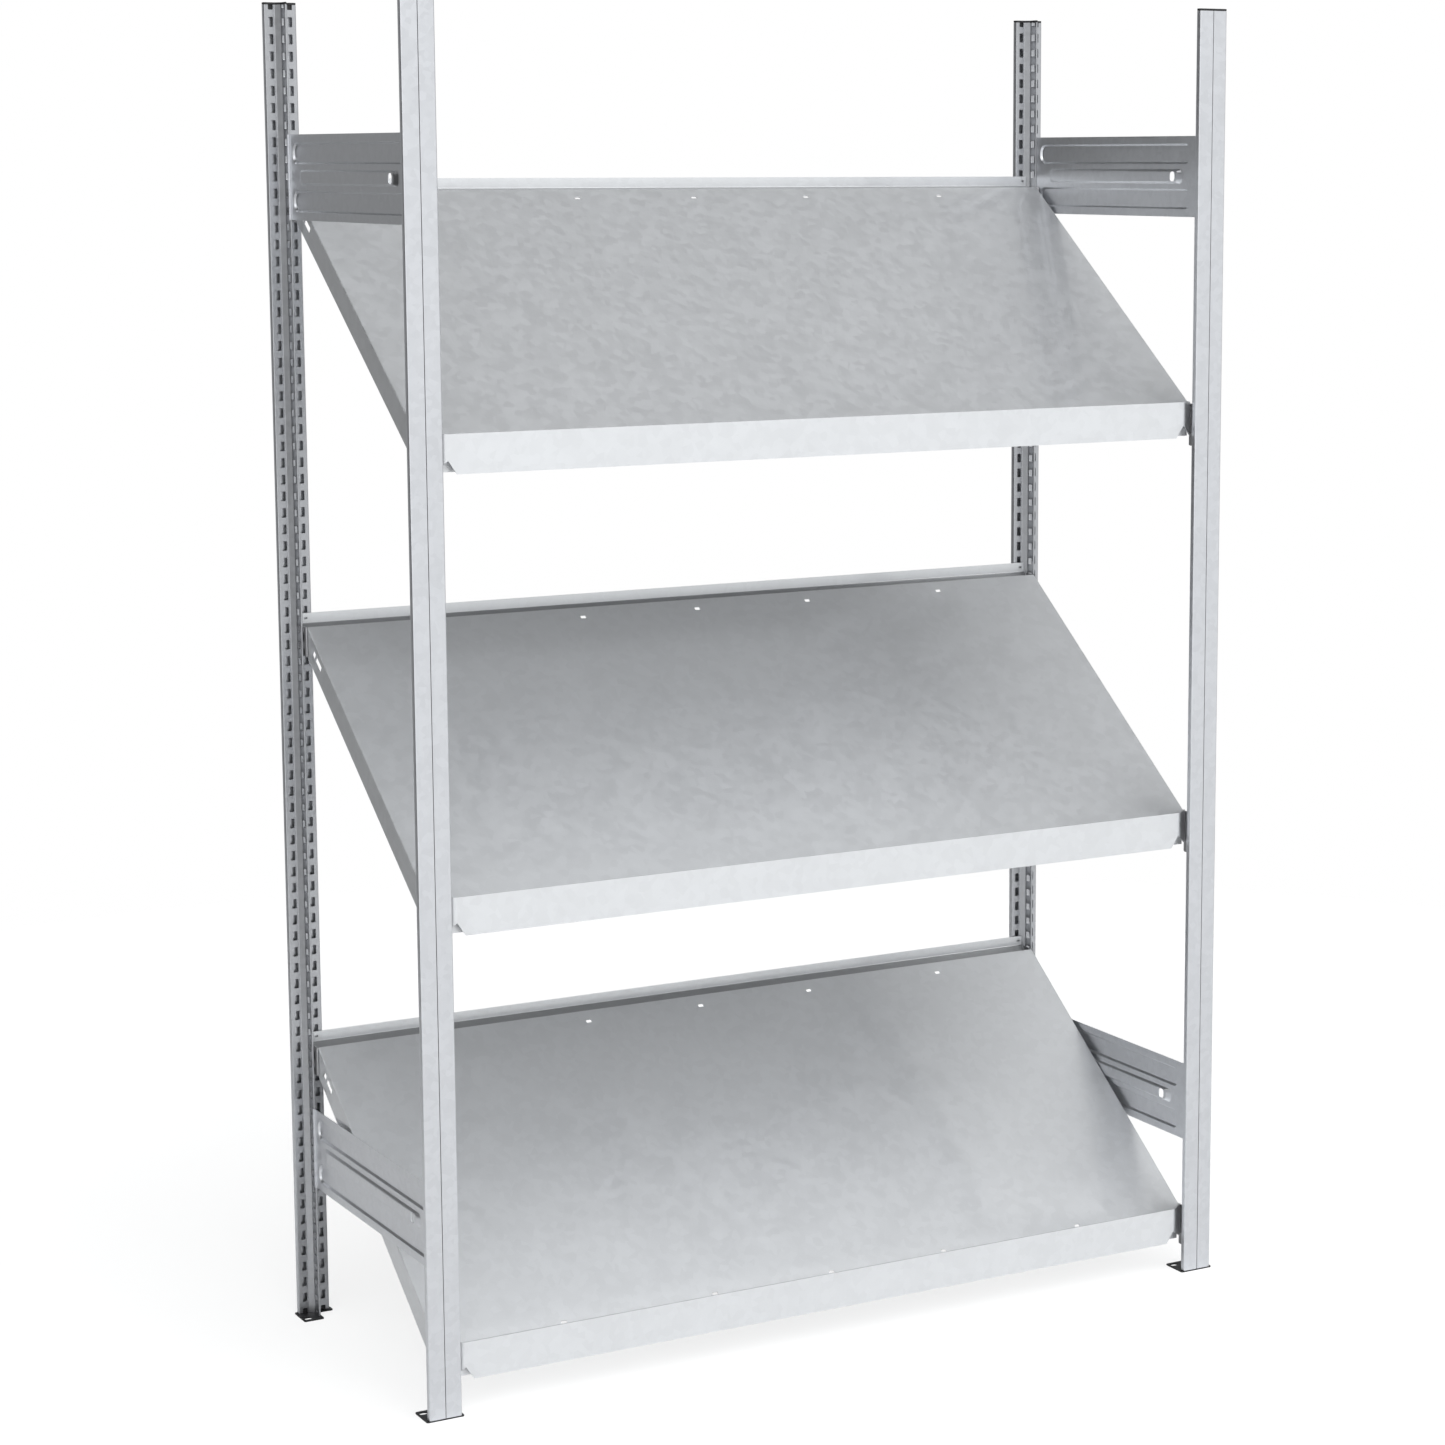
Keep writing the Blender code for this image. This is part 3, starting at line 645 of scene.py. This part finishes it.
def lip_mesh(half_width, lip_y, lip_line, soft_line):
    """The upright lip: notched at its ends, hemmed at its top, its ends a little lower."""
    lip_flat = half_width - LIP_END

    def across(x, z):
        return (x, lip_y - REACH, z)

    lip = prism("lip", bent_sheet(soft_line, SHELF_SHEET), plan(0), (0, 0, LIP_HEIGHT))
    notch = [
        (lip_flat - NOTCH_FOOT, -REACH),
        (lip_flat - NOTCH_FOOT, 0),
        (lip_flat - NOTCH_PEAK, NOTCH_HEIGHT),
        (lip_flat + NOTCH_END, LIP_END_RISE),
        (half_width + REACH, LIP_END_RISE),
        (half_width + REACH, -REACH),
    ]
    for outline in (mirrored(notch), notch):
        combine(lip, prism("notch", outline, across, (0, LIP_END + 2 * REACH, 0)))

    hem_end = (half_width - SHELF_SHEET, lip_y + LIP_END - SHELF_SHEET)
    hem_line = [(-hem_end[0], hem_end[1]), lip_line[1], lip_line[2], hem_end]
    hem_line = offset_path(fillet(hem_line, [0, LIP_CORNER, LIP_CORNER, 0], BEND_STEPS), SHELF_MIDDLE)
    hem_outline = bent_sheet(hem_line, HEM_SHEET)
    hem = prism("hem", hem_outline, plan(LIP_HEIGHT - LIP_HEM), (0, 0, LIP_HEM))
    relief = [
        (lip_flat - REACH, LIP_HEIGHT + LIP_END_FALL),
        (half_width + REACH, LIP_HEIGHT - LIP_END_FALL),
        (half_width + REACH, LIP_HEIGHT + LIP_END_FALL),
    ]
    for layer in (lip, hem):
        combine(layer, prisms("relief", [relief, mirrored(relief)], across, (0, 5 * REACH, 0)))
    combine(lip, hem, "UNION")
    tidy_mesh(lip)
    return lip


def return_mesh(half_width, lip_y):
    """Upright strip under the surface, a little behind the lip's lower part."""
    half_return = half_width - LIP_END + RETURN_SETBACK - SHELF_SHEET
    line = [(-half_return, lip_y + RETURN_SETBACK), (half_return, lip_y + RETURN_SETBACK)]
    top = LIP_BELOW_SURFACE + RETURN_SETBACK * RISE / RUN - SHELF_MIDDLE / 2
    return prism("return", bent_sheet(line, SHELF_SHEET), plan(RETURN_RISE), (0, 0, top - RETURN_RISE))


def shelf_painted_shade(lip_y):
    """How much shade is painted on a shelf's faces, by their place: painted shade on the bottom of its
    channel and on the front of its return.
    """

    def amount(centre, normal):
        back = centre.y - lip_y
        up = centre.z - LIP_BELOW_SURFACE
        deep = up * RUN - back * RISE < -CHANNEL_DEPTH / 2
        behind = back * RUN + up * RISE > EDGE_ALONG
        if deep and behind and normal.z > UPWARDS:
            return CHANNEL_PAINTED_SHADE
        if abs(back - RETURN_SETBACK) < SHELF_SHEET and up < 0 and -normal.y > FORWARDS:
            return RETURN_PAINTED_SHADE
        return 0.0

    return amount


def shelf_mesh(half_width, lip_y):
    """One whole shelf with the bottom of its lip on z = 0."""
    lip_flat = half_width - LIP_END
    lip_line = [
        (-half_width, lip_y + LIP_END),
        (-lip_flat, lip_y),
        (lip_flat, lip_y),
        (half_width, lip_y + LIP_END),
    ]
    soft_line = fillet(lip_line, [0, LIP_CORNER, LIP_CORNER, 0], BEND_STEPS)
    bm = bmesh.new()
    border = add_surface(bm, half_width, lip_y, soft_line)
    add_side(bm, [border[0], border[1]], 1, half_width, lip_y)
    add_side(bm, [border[3], border[2]], -1, half_width, lip_y)
    add_channel(bm, [border[2], border[1]], half_width, lip_y)
    bmesh.ops.recalc_face_normals(bm, faces=bm.faces)
    shelf = as_object("shelf", bm)
    thicken(shelf, SHELF_SHEET)
    combine(shelf, lip_mesh(half_width, lip_y, lip_line, soft_line), "UNION")
    combine(shelf, return_mesh(half_width, lip_y), "UNION")
    # Painted shade on the bottom of the channel and on the front of the return
    paint_shade(shelf, shelf_painted_shade(lip_y))
    return shelf


# Clips


def clip_mesh(height, thickness, width, trim):
    """Shelf clip: a soft-edged channel open towards -X from z = trim up, its lower inner corner rounded."""
    profile = fillet(
        [(0, 0), (thickness, 0), (thickness, width), (0, width)],
        [0, CLIP_BEND, CLIP_BEND, 0],
        BEND_STEPS,
    )
    clip = prism("clip", bent_sheet(profile, CLIP_SHEET), plan(0), (0, 0, height))
    outline = fillet(
        [(-REACH, trim), (-REACH, height + REACH), (width, height + REACH), (width, trim)],
        [0, 0, 0, CLIP_CORNER],
        CORNER_STEPS,
        closed=True,
    )
    limit = prism("limit", outline, lambda y, z: (-REACH, y, z), (2 * REACH + thickness, 0, 0))
    combine(clip, limit, "INTERSECT")
    tidy_mesh(clip)
    return clip


# Finishes

# Zinc: texture scales in waves to the metre, relief, and tones as factors of the finish's own tone
ZINC_CLOUDS = 14.0
ZINC_GRAIN = 900.0
ZINC_EDGE = 0.5 * MM
ZINC_RELIEF = 0.04
ZINC_RELIEF_DEPTH = 0.4 * MM
CLOUD_RELIEF = 0.6
GRAIN_RELIEF = 0.12
SPANGLE_SHARE = 0.45
SPANGLE_CONTRAST = 0.10
SPECK_TONE = 1.12
SPECK_SHARE = 0.25
WORN_TONE = 1.25
WORN_LIGHTEST = 0.92
WORN_SHARE = 0.6
ROUGHNESS_SPREAD = 0.03
COAT_ROUGHNESS = 0.09
COAT_IOR = 2.0

# Parts of a texture's range that carry mottling and specks, and clouds carried to an edge's wear
MOTTLE = (0.25, 0.75)
SPECKS = (0.62, 0.75)
ZINC_WEAR = (0.35, 0.6, 0.25, 1.0)

# Plastic: the same, and its rubbed colour and the spread of its roughness
PLASTIC_CLOUDS = 60.0
PLASTIC_GRAIN = 2200.0
PLASTIC_EDGE = 0.4 * MM
PLASTIC_RELIEF = 0.2
PLASTIC_RELIEF_DEPTH = 0.1 * MM
PLASTIC_DARK = 0.8
PLASTIC_LIGHT = 1.3
PLASTIC_WEAR = (0.4, 0.6, 0.1, 0.6)
PLASTIC_RUBBED = (0.07, 0.07, 0.075, 1)
PLASTIC_SHEEN = (0.3, 0.7)
PLASTIC_SMOOTHER = 0.06
PLASTIC_ROUGHER = 0.08

# Dot products of the rounded and the true normal: on the flat, and where an edge counts as fully worn
EDGE_FACING = (0.995, 0.86)


class Nodes:
    """Small helper that adds shader nodes and links them."""

    def __init__(self, name):
        self.material = bpy.data.materials.new(name)
        self.material.use_nodes = True
        self.tree = self.material.node_tree
        self.shader = self.tree.nodes["Principled BSDF"]

    def add(self, kind, settings=None, **links):
        """A node with property settings and with its named inputs set or linked."""
        node = self.tree.nodes.new(kind)
        for key, value in (settings or {}).items():
            setattr(node, key, value)
        for key, value in links.items():
            self.feed(node.inputs[key.replace("_", " ")], value)
        return node

    def feed(self, socket, value):
        """Link an output to a socket, or set the socket's value."""
        if isinstance(value, bpy.types.NodeSocket):
            self.tree.links.new(value, socket)
        else:
            socket.default_value = value

    def maths(self, operation, *values):
        """Output of one arithmetic step."""
        node = self.tree.nodes.new("ShaderNodeMath")
        node.operation = operation
        for socket, value in zip(node.inputs, values):
            self.feed(socket, value)
        return node.outputs[0]

    def span(self, value, low, high, start, end):
        """Value carried from low..high to start..end, held at both ends."""
        node = self.tree.nodes.new("ShaderNodeMapRange")
        for socket, item in zip(node.inputs, (value, low, high, start, end)):
            self.feed(socket, item)
        return node.outputs[0]

    def blend(self, factor, first, second):
        """Colour between first and second."""
        node = self.tree.nodes.new("ShaderNodeMix")
        node.data_type = "RGBA"
        self.feed(node.inputs["Factor"], factor)
        self.feed(node.inputs[6], first)
        self.feed(node.inputs[7], second)
        return node.outputs[2]


def shade(tone, factor):
    """Opaque colour of a tone made lighter or darker."""
    return tuple(channel * factor for channel in tone) + (1,)


def near_edge(nodes, radius):
    """How near an edge a point is, from 0 on the flat to 1, and the normal rounded by that radius."""
    rounded = nodes.add("ShaderNodeBevel", {"samples": 4}, Radius=radius).outputs[0]
    true = nodes.add("ShaderNodeNewGeometry").outputs["Normal"]
    facing = nodes.add("ShaderNodeVectorMath", {"operation": "DOT_PRODUCT"})
    nodes.feed(facing.inputs[0], rounded)
    nodes.feed(facing.inputs[1], true)
    return nodes.span(facing.outputs["Value"], *EDGE_FACING, 0.0, 1.0), rounded


def galvanised(name, tone, roughness, cell, contrast, metallic=1.0, coat=0.0):
    """Zinc-coated steel: faint spangle, clouds, fine grain, brighter worn edges and painted shade in
    recesses.
    """
    nodes = Nodes(name)
    place = nodes.add("ShaderNodeTexCoord").outputs["Object"]
    spangle = nodes.add("ShaderNodeTexVoronoi", {"feature": "F1"}, Vector=place, Scale=1 / cell)
    cells = nodes.add("ShaderNodeSeparateColor", Color=spangle.outputs["Color"]).outputs[0]
    noise = {"Vector": place, "Scale": ZINC_CLOUDS, "Detail": 4.0, "Roughness": 0.6}
    clouds = nodes.add("ShaderNodeTexNoise", **noise).outputs[0]
    grain = nodes.add("ShaderNodeTexNoise", Vector=place, Scale=ZINC_GRAIN, Detail=2.0).outputs[0]
    edge, _ = near_edge(nodes, ZINC_EDGE)
    worn = nodes.maths("MULTIPLY", edge, nodes.span(clouds, *ZINC_WEAR))
    cell_part = nodes.maths("MULTIPLY", cells, SPANGLE_SHARE)
    cloud_part = nodes.maths("MULTIPLY", clouds, 1 - SPANGLE_SHARE)
    mottle = nodes.maths("ADD", cell_part, cloud_part)

    spread = SPANGLE_CONTRAST * contrast
    lighter = nodes.span(mottle, *MOTTLE, 0.0, 1.0)
    body = nodes.blend(lighter, shade(tone, 1 - spread), shade(tone, 1 + spread))
    specks = nodes.span(grain, *SPECKS, 0.0, SPECK_SHARE)
    speckled = nodes.blend(specks, body, shade(tone, SPECK_TONE))
    bright = tuple(min(channel, WORN_LIGHTEST) for channel in shade(tone, WORN_TONE)[:3]) + (1,)
    polished = nodes.blend(nodes.maths("MULTIPLY", worn, WORN_SHARE), speckled, bright)
    # Painted shade: the colour darkened by the amount kept on recessed faces
    painted_shade = nodes.add("ShaderNodeAttribute", {"attribute_name": PAINTED_SHADE_NAME}).outputs["Fac"]
    colour = nodes.add("ShaderNodeVectorMath", {"operation": "SCALE"})
    nodes.feed(colour.inputs[0], polished)
    nodes.feed(colour.inputs["Scale"], nodes.maths("SUBTRACT", 1.0, painted_shade))
    nodes.feed(nodes.shader.inputs["Base Color"], colour.outputs[0])
    nodes.feed(nodes.shader.inputs["Metallic"], metallic)

    nodes.feed(nodes.shader.inputs["Coat Weight"], coat)
    nodes.feed(nodes.shader.inputs["Coat Roughness"], COAT_ROUGHNESS)
    nodes.feed(nodes.shader.inputs["Coat IOR"], COAT_IOR)
    rough = nodes.span(mottle, *MOTTLE, roughness - ROUGHNESS_SPREAD, roughness + ROUGHNESS_SPREAD)
    rough = nodes.maths("SUBTRACT", rough, nodes.maths("MULTIPLY", worn, ROUGHNESS_SPREAD))
    nodes.feed(nodes.shader.inputs["Roughness"], rough)
    swell = nodes.maths("MULTIPLY", clouds, CLOUD_RELIEF)
    waves = nodes.maths("ADD", swell, nodes.maths("MULTIPLY", grain, GRAIN_RELIEF))
    bump = nodes.add("ShaderNodeBump", Strength=ZINC_RELIEF, Distance=ZINC_RELIEF_DEPTH, Height=waves)
    nodes.feed(nodes.shader.inputs["Normal"], bump.outputs[0])
    return nodes.material


def moulded(name, tone, roughness):
    """Black moulded plastic: fine grain, cloudy sheen and paler rubbed edges."""
    nodes = Nodes(name)
    place = nodes.add("ShaderNodeTexCoord").outputs["Object"]
    clouds = nodes.add("ShaderNodeTexNoise", Vector=place, Scale=PLASTIC_CLOUDS, Detail=3.0).outputs[0]
    grain = nodes.add("ShaderNodeTexNoise", Vector=place, Scale=PLASTIC_GRAIN, Detail=1.0).outputs[0]
    edge, rounded = near_edge(nodes, PLASTIC_EDGE)
    rubbed = nodes.maths("MULTIPLY", edge, nodes.span(clouds, *PLASTIC_WEAR))
    body = nodes.blend(clouds, shade(tone, PLASTIC_DARK), shade(tone, PLASTIC_LIGHT))
    nodes.feed(nodes.shader.inputs["Base Color"], nodes.blend(rubbed, body, PLASTIC_RUBBED))
    rough = nodes.span(clouds, *PLASTIC_SHEEN, roughness - PLASTIC_SMOOTHER, roughness + PLASTIC_ROUGHER)
    nodes.feed(nodes.shader.inputs["Roughness"], rough)
    bump = nodes.add("ShaderNodeBump", Strength=PLASTIC_RELIEF, Distance=PLASTIC_RELIEF_DEPTH, Height=grain)
    nodes.feed(bump.inputs["Normal"], rounded)
    nodes.feed(nodes.shader.inputs["Normal"], bump.outputs[0])
    return nodes.material


# Assembly


def put(template, name, node, material, slot, matrix):
    """Place a copy of a template for a CAD node, in the row frame, with its own finish."""
    mesh = template.data.copy()
    mesh.transform(matrix)
    if matrix.determinant() < 0:
        mesh.flip_normals()
    obj = bpy.data.objects.new(name, mesh)
    bpy.context.scene.collection.objects.link(obj)
    obj.data.materials.clear()
    obj.data.materials.append(material)
    smooth(obj)
    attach(obj, "root")
    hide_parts(node)


CORNERS = [(row, column) for row in ("front", "rear") for column in ("left", "right")]
LEVELS = ("lower", "middle", "upper")


def place_uprights(steel, plastic):
    """Uprights with their end caps and foot plates."""
    low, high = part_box("upright_front_left")
    half_width = (high.x - low.x) / 2
    depth = high.y - low.y
    upright = upright_mesh(half_width, depth, high.z - low.z)
    cap_low, cap_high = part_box("end_cap_front_left")
    thickness = cap_high.z - cap_low.z - PLUG_LENGTH
    cap = cap_mesh(half_width, depth, thickness)
    foot_low, foot_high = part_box("foot_plate_front_left")
    edge = (foot_high.x - foot_low.x) / 2
    foot_depth = foot_high.y - foot_low.y
    feet = {
        "front": foot_mesh(-1, edge, foot_depth, half_width),
        "rear": foot_mesh(1, edge, foot_depth, half_width),
    }
    for row, column in CORNERS:
        corner = f"{row}_{column}"
        low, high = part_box(f"upright_{corner}")
        face = low.y if row == "front" else high.y
        turn = Matrix.Rotation(0 if row == "front" else math.pi, 4, "Z")
        centre = (low.x + high.x) / 2
        cap_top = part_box(f"end_cap_{corner}")[1].z
        pieces = [
            (upright, f"T_upright_{corner}", f"upright_{corner}", steel, "upright_steel", low.z),
            (cap, f"top_cap_{corner}", f"end_cap_{corner}", plastic, "black_plastic", cap_top - thickness),
            (feet[row], f"foot_{corner}", f"foot_plate_{corner}", plastic, "black_plastic", 0),
        ]
        for template, name, node, material, slot, height in pieces:
            matrix = Matrix.Translation((centre, face, height)) @ turn
            put(template, name, node, material, slot, matrix)
    for template in (upright, cap, *feet.values()):
        bpy.data.objects.remove(template)


def place_bars(steel):
    """Tie bars on both sides."""
    for column, side in (("left", -1), ("right", 1)):
        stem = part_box(f"upright_front_{column}")
        axis = (stem[0].x + stem[1].x) / 2
        low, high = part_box(f"tie_bar_upper_{column}")
        half_length = (high.y - low.y) / 2 - BAR_SHEET / 2
        bar = bar_mesh(half_length, (high.z - low.z) / 2, side)
        for level in ("upper", "lower"):
            node = f"tie_bar_{level}_{column}"
            low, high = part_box(node)
            matrix = Matrix.Translation((axis, (low.y + high.y) / 2, (low.z + high.z) / 2))
            put(bar, f"side_{node}", node, steel, "upright_steel", matrix)
        bpy.data.objects.remove(bar)


def place_shelves(steel, clip_steel):
    """Shelves and their clips."""
    low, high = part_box("shelf_lower")
    shelf = shelf_mesh(high.x + SIDE_SHIFT, low.y)
    for level in LEVELS:
        node = f"shelf_{level}"
        matrix = Matrix.Translation((0, 0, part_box(node)[0].z))
        put(shelf, f"slanted_{node}", node, steel, "shelf_steel", matrix)
    bpy.data.objects.remove(shelf)
    clips = {}
    for row in ("front", "rear"):
        low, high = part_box(f"clip_lower_{row}_left")
        trim = CLIP_TRIM if row == "front" else 0
        clips[row] = clip_mesh(high.z - low.z, high.x - low.x - SIDE_SHIFT, high.y - low.y, trim)
    for level in LEVELS:
        for row, column in CORNERS:
            node = f"clip_{level}_{row}_{column}"
            low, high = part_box(node)
            x, flip_x = (low.x, 1) if column == "left" else (high.x, -1)
            y, flip_y = (low.y, 1) if row == "front" else (high.y, -1)
            matrix = Matrix.Translation((x, y, low.z)) @ Matrix.Diagonal((flip_x, flip_y, 1, 1))
            put(clips[row], f"hung_{node}", node, clip_steel, "clip_steel", matrix)
    for template in clips.values():
        bpy.data.objects.remove(template)


# Studio

# Brightness of the horizon by compass angle, in degrees from +X towards +Y
HORIZON = [
    (-180, 0.2),
    (-146, 0.5),
    (-134, 1.3),
    (-116, 1.3),
    (-98, 0.9),
    (-55, 0.95),
    (0, 0.5),
    (55, 0.33),
    (75, 0.5),
    (112, 0.36),
    (134, 0.03),
    (160, 0.03),
    (180, 0.2),
]

# Brightness of the sky from the front (-1) to the rear (1), on the left and on the right of the unit
SKY_LEFT = [(-1, 2.6), (-0.5, 2.0), (-0.2, 0.9), (0.05, 0.04), (1, 0.04)]
SKY_RIGHT = [
    (-1, 2.6),
    (-0.5, 1.8),
    (-0.2, 0.9),
    (-0.05, 0.9),
    (0.05, 0.04),
    (0.14, 0.04),
    (0.2, 0.6),
    (0.3, 0.3),
    (1, 0.5),
]

# Where the left sky passes into the right one, and the horizon into the sky, on a direction's own X and Z
LEFT_TO_RIGHT = (-0.1, 0.3)
HORIZON_TO_SKY = (0.25, 0.5)

# Red and green of the cool light that comes from horizon and sky, next to full blue
COOL_RED = 0.975
COOL_GREEN = 0.99

# A bright box to the left, behind and above: its direction, its brightness and the cosines of its soft rim
SIDE_BOX_FROM = (-0.8, 0.37, 0.45)
SIDE_BOX = 2.0
SIDE_BOX_RIM = (0.98, 0.99)

# The floor's radius, where it fades out, how much of it the camera doesn't see and how much it glows for it
FLOOR_RADIUS = 9.0
FLOOR_FADE = (1.2, 3.2)
FLOOR_CLEARNESS = 0.6
FLOOR_LIFT = 0.4
FLOOR_TONES = (0.90, 0.92)

# Each lamp's name, place, width and power, and the point at which all of them aim
LAMPS = [
    ("front_light", (0.6, -3.4, 2.6), 2.6, 15.0),
    ("top_light", (0.5, -0.6, 4.2), 2.4, 12.0),
]
LAMP_AIM = (0, 0, 0.95)

# The photograph's camera: angles in degrees, sensor and lens in millimetres, shift as a share of the width
CAMERA_PLACE = (-2.4189, -4.5647, 1.7757)
CAMERA_YAW = 30.275
CAMERA_PITCH = 8.494
CAMERA_SENSOR = 36
CAMERA_LENS = 84.11
CAMERA_SHIFT = (-0.12, -0.04)
CAMERA_CLIP = (0.1, 100)


def brightness(tree, value, stops):
    """Cool light whose brightness follows a value through the stops."""
    low, high = stops[0][0], stops[-1][0]
    span = tree.nodes.new("ShaderNodeMapRange")
    tree.links.new(value, span.inputs["Value"])
    span.inputs["From Min"].default_value = low
    span.inputs["From Max"].default_value = high
    ramp = tree.nodes.new("ShaderNodeValToRGB")
    tree.links.new(span.outputs[0], ramp.inputs[0])
    steps = ramp.color_ramp.elements
    for place, _ in stops[1:-1]:
        steps.new((place - low) / (high - low))
    for step, (place, level) in zip(steps, stops):
        step.position = (place - low) / (high - low)
        step.color = (level * COOL_RED, level * COOL_GREEN, level, 1)
    return ramp.outputs["Color"]


def between(tree, value, limits, first, second):
    """Colour that passes softly from first to second while a value crosses the limits."""
    part = tree.nodes.new("ShaderNodeMapRange")
    part.interpolation_type = "SMOOTHSTEP"
    tree.links.new(value, part.inputs["Value"])
    part.inputs["From Min"].default_value, part.inputs["From Max"].default_value = limits
    mix = tree.nodes.new("ShaderNodeMix")
    mix.data_type = "RGBA"
    tree.links.new(part.outputs[0], mix.inputs["Factor"])
    tree.links.new(first, mix.inputs[6])
    tree.links.new(second, mix.inputs[7])
    return mix.outputs[2]


def floor_material():
    """Matt white that is clear far from the middle, and partly clear and faintly glowing to the camera."""
    nodes = Nodes("floor_white")
    place = nodes.add("ShaderNodeTexCoord").outputs["Object"]
    distance = nodes.add("ShaderNodeVectorMath", {"operation": "LENGTH"})
    nodes.feed(distance.inputs[0], place)
    fade = nodes.span(distance.outputs["Value"], *FLOOR_FADE, 0.0, 1.0)
    mottle = nodes.add("ShaderNodeTexNoise", Vector=place, Scale=3.0).outputs[0]
    dark, light = [(tone, tone, tone, 1) for tone in FLOOR_TONES]
    nodes.feed(nodes.shader.inputs["Base Color"], nodes.blend(mottle, dark, light))
    nodes.feed(nodes.shader.inputs["Roughness"], 0.9)
    nodes.feed(nodes.shader.inputs["Specular IOR Level"], 0.1)
    to_camera = nodes.add("ShaderNodeLightPath").outputs["Is Camera Ray"]
    fade = nodes.maths("MAXIMUM", fade, nodes.maths("MULTIPLY", to_camera, FLOOR_CLEARNESS))
    nodes.feed(nodes.shader.inputs["Emission Color"], (1, 1, 1, 1))
    nodes.feed(nodes.shader.inputs["Emission Strength"], nodes.maths("MULTIPLY", to_camera, FLOOR_LIFT))
    joined = nodes.add("ShaderNodeMixShader")
    nodes.feed(joined.inputs[0], fade)
    nodes.feed(joined.inputs[1], nodes.shader.outputs[0])
    nodes.feed(joined.inputs[2], nodes.add("ShaderNodeBsdfTransparent").outputs[0])
    nodes.feed(nodes.tree.nodes["Material Output"].inputs["Surface"], joined.outputs[0])
    return nodes.material


def white_floor():
    """Floor disc under the unit."""
    bm = bmesh.new()
    bmesh.ops.create_circle(bm, cap_ends=True, segments=96, radius=FLOOR_RADIUS)
    floor = as_object("floor", bm)
    floor.data.materials.append(floor_material())


def surroundings():
    """World that is white to the camera and a softly lit studio to the unit."""
    world = bpy.data.worlds.new("studio")
    bpy.context.scene.world = world
    world.use_nodes = True
    tree = world.node_tree
    direction = tree.nodes.new("ShaderNodeTexCoord").outputs["Generated"]
    split = tree.nodes.new("ShaderNodeSeparateXYZ")
    tree.links.new(direction, split.inputs[0])
    compass = tree.nodes.new("ShaderNodeMath")
    compass.operation = "ARCTAN2"
    tree.links.new(split.outputs["Y"], compass.inputs[0])
    tree.links.new(split.outputs["X"], compass.inputs[1])
    stops = [(math.radians(angle), level) for angle, level in HORIZON]
    horizon = brightness(tree, compass.outputs[0], stops)
    left = brightness(tree, split.outputs["Y"], SKY_LEFT)
    right = brightness(tree, split.outputs["Y"], SKY_RIGHT)
    sky = between(tree, split.outputs["X"], LEFT_TO_RIGHT, left, right)
    dome = between(tree, split.outputs["Z"], HORIZON_TO_SKY, horizon, sky)

    towards_box = tree.nodes.new("ShaderNodeVectorMath")
    towards_box.operation = "DOT_PRODUCT"
    tree.links.new(direction, towards_box.inputs[0])
    towards_box.inputs[1].default_value = Vector(SIDE_BOX_FROM).normalized()
    box = tree.nodes.new("ShaderNodeRGB").outputs[0]
    box.default_value = (SIDE_BOX, SIDE_BOX, SIDE_BOX, 1)
    around = between(tree, towards_box.outputs["Value"], SIDE_BOX_RIM, dome, box)

    seen = tree.nodes.new("ShaderNodeMix")
    seen.data_type = "RGBA"
    seen.inputs[7].default_value = (1, 1, 1, 1)
    to_camera = tree.nodes.new("ShaderNodeLightPath").outputs["Is Camera Ray"]
    tree.links.new(to_camera, seen.inputs["Factor"])
    tree.links.new(around, seen.inputs[6])
    tree.links.new(seen.outputs[2], tree.nodes["Background"].inputs["Color"])


def lamps():
    """Soft square lamps that reflections don't show."""
    for name, place, size, power in LAMPS:
        data = bpy.data.lights.new(name, "AREA")
        data.shape = "SQUARE"
        data.size = size
        data.energy = power
        lamp = bpy.data.objects.new(name, data)
        lamp.location = place
        aim = Vector(LAMP_AIM) - Vector(place)
        lamp.rotation_euler = aim.to_track_quat("-Z", "Y").to_euler()
        lamp.visible_glossy = False
        bpy.context.scene.collection.objects.link(lamp)


def photograph():
    """Camera at the photograph's viewing angle."""
    data = bpy.data.cameras.new("camera")
    data.sensor_width = CAMERA_SENSOR
    data.lens = CAMERA_LENS
    data.shift_x, data.shift_y = CAMERA_SHIFT
    data.clip_start, data.clip_end = CAMERA_CLIP
    camera = bpy.data.objects.new("camera", data)
    camera.location = CAMERA_PLACE
    yaw = math.radians(CAMERA_YAW)
    pitch = math.radians(CAMERA_PITCH)
    level = math.cos(pitch)
    forward = Vector((math.sin(yaw) * level, math.cos(yaw) * level, -math.sin(pitch)))
    camera.rotation_euler = forward.to_track_quat("-Z", "Y").to_euler()
    bpy.context.scene.collection.objects.link(camera)
    bpy.context.scene.camera = camera
    bpy.context.scene.view_settings.view_transform = "Standard"


upright_steel = galvanised(
    "upright_galvanised",
    tone=(0.72, 0.73, 0.755),
    roughness=0.34,
    cell=9 * MM,
    contrast=0.35,
)
shelf_steel = galvanised(
    "shelf_galvanised",
    tone=(0.80, 0.81, 0.825),
    roughness=0.5,
    cell=12 * MM,
    contrast=0.25,
    coat=0.6,
)
# The clips' darker tone is painted shade, for the gap between the shelf flange and the upright where they
# hang
clip_steel = galvanised(
    "clip_zinc_painted_shade",
    tone=(0.48, 0.48, 0.49),
    roughness=0.4,
    cell=5 * MM,
    contrast=0.5,
    metallic=0.9,
)
black_plastic = moulded("black_moulded", tone=(0.012, 0.012, 0.013), roughness=0.45)
place_uprights(upright_steel, black_plastic)
place_bars(upright_steel)
place_shelves(shelf_steel, clip_steel)
white_floor()
surroundings()
lamps()
photograph()
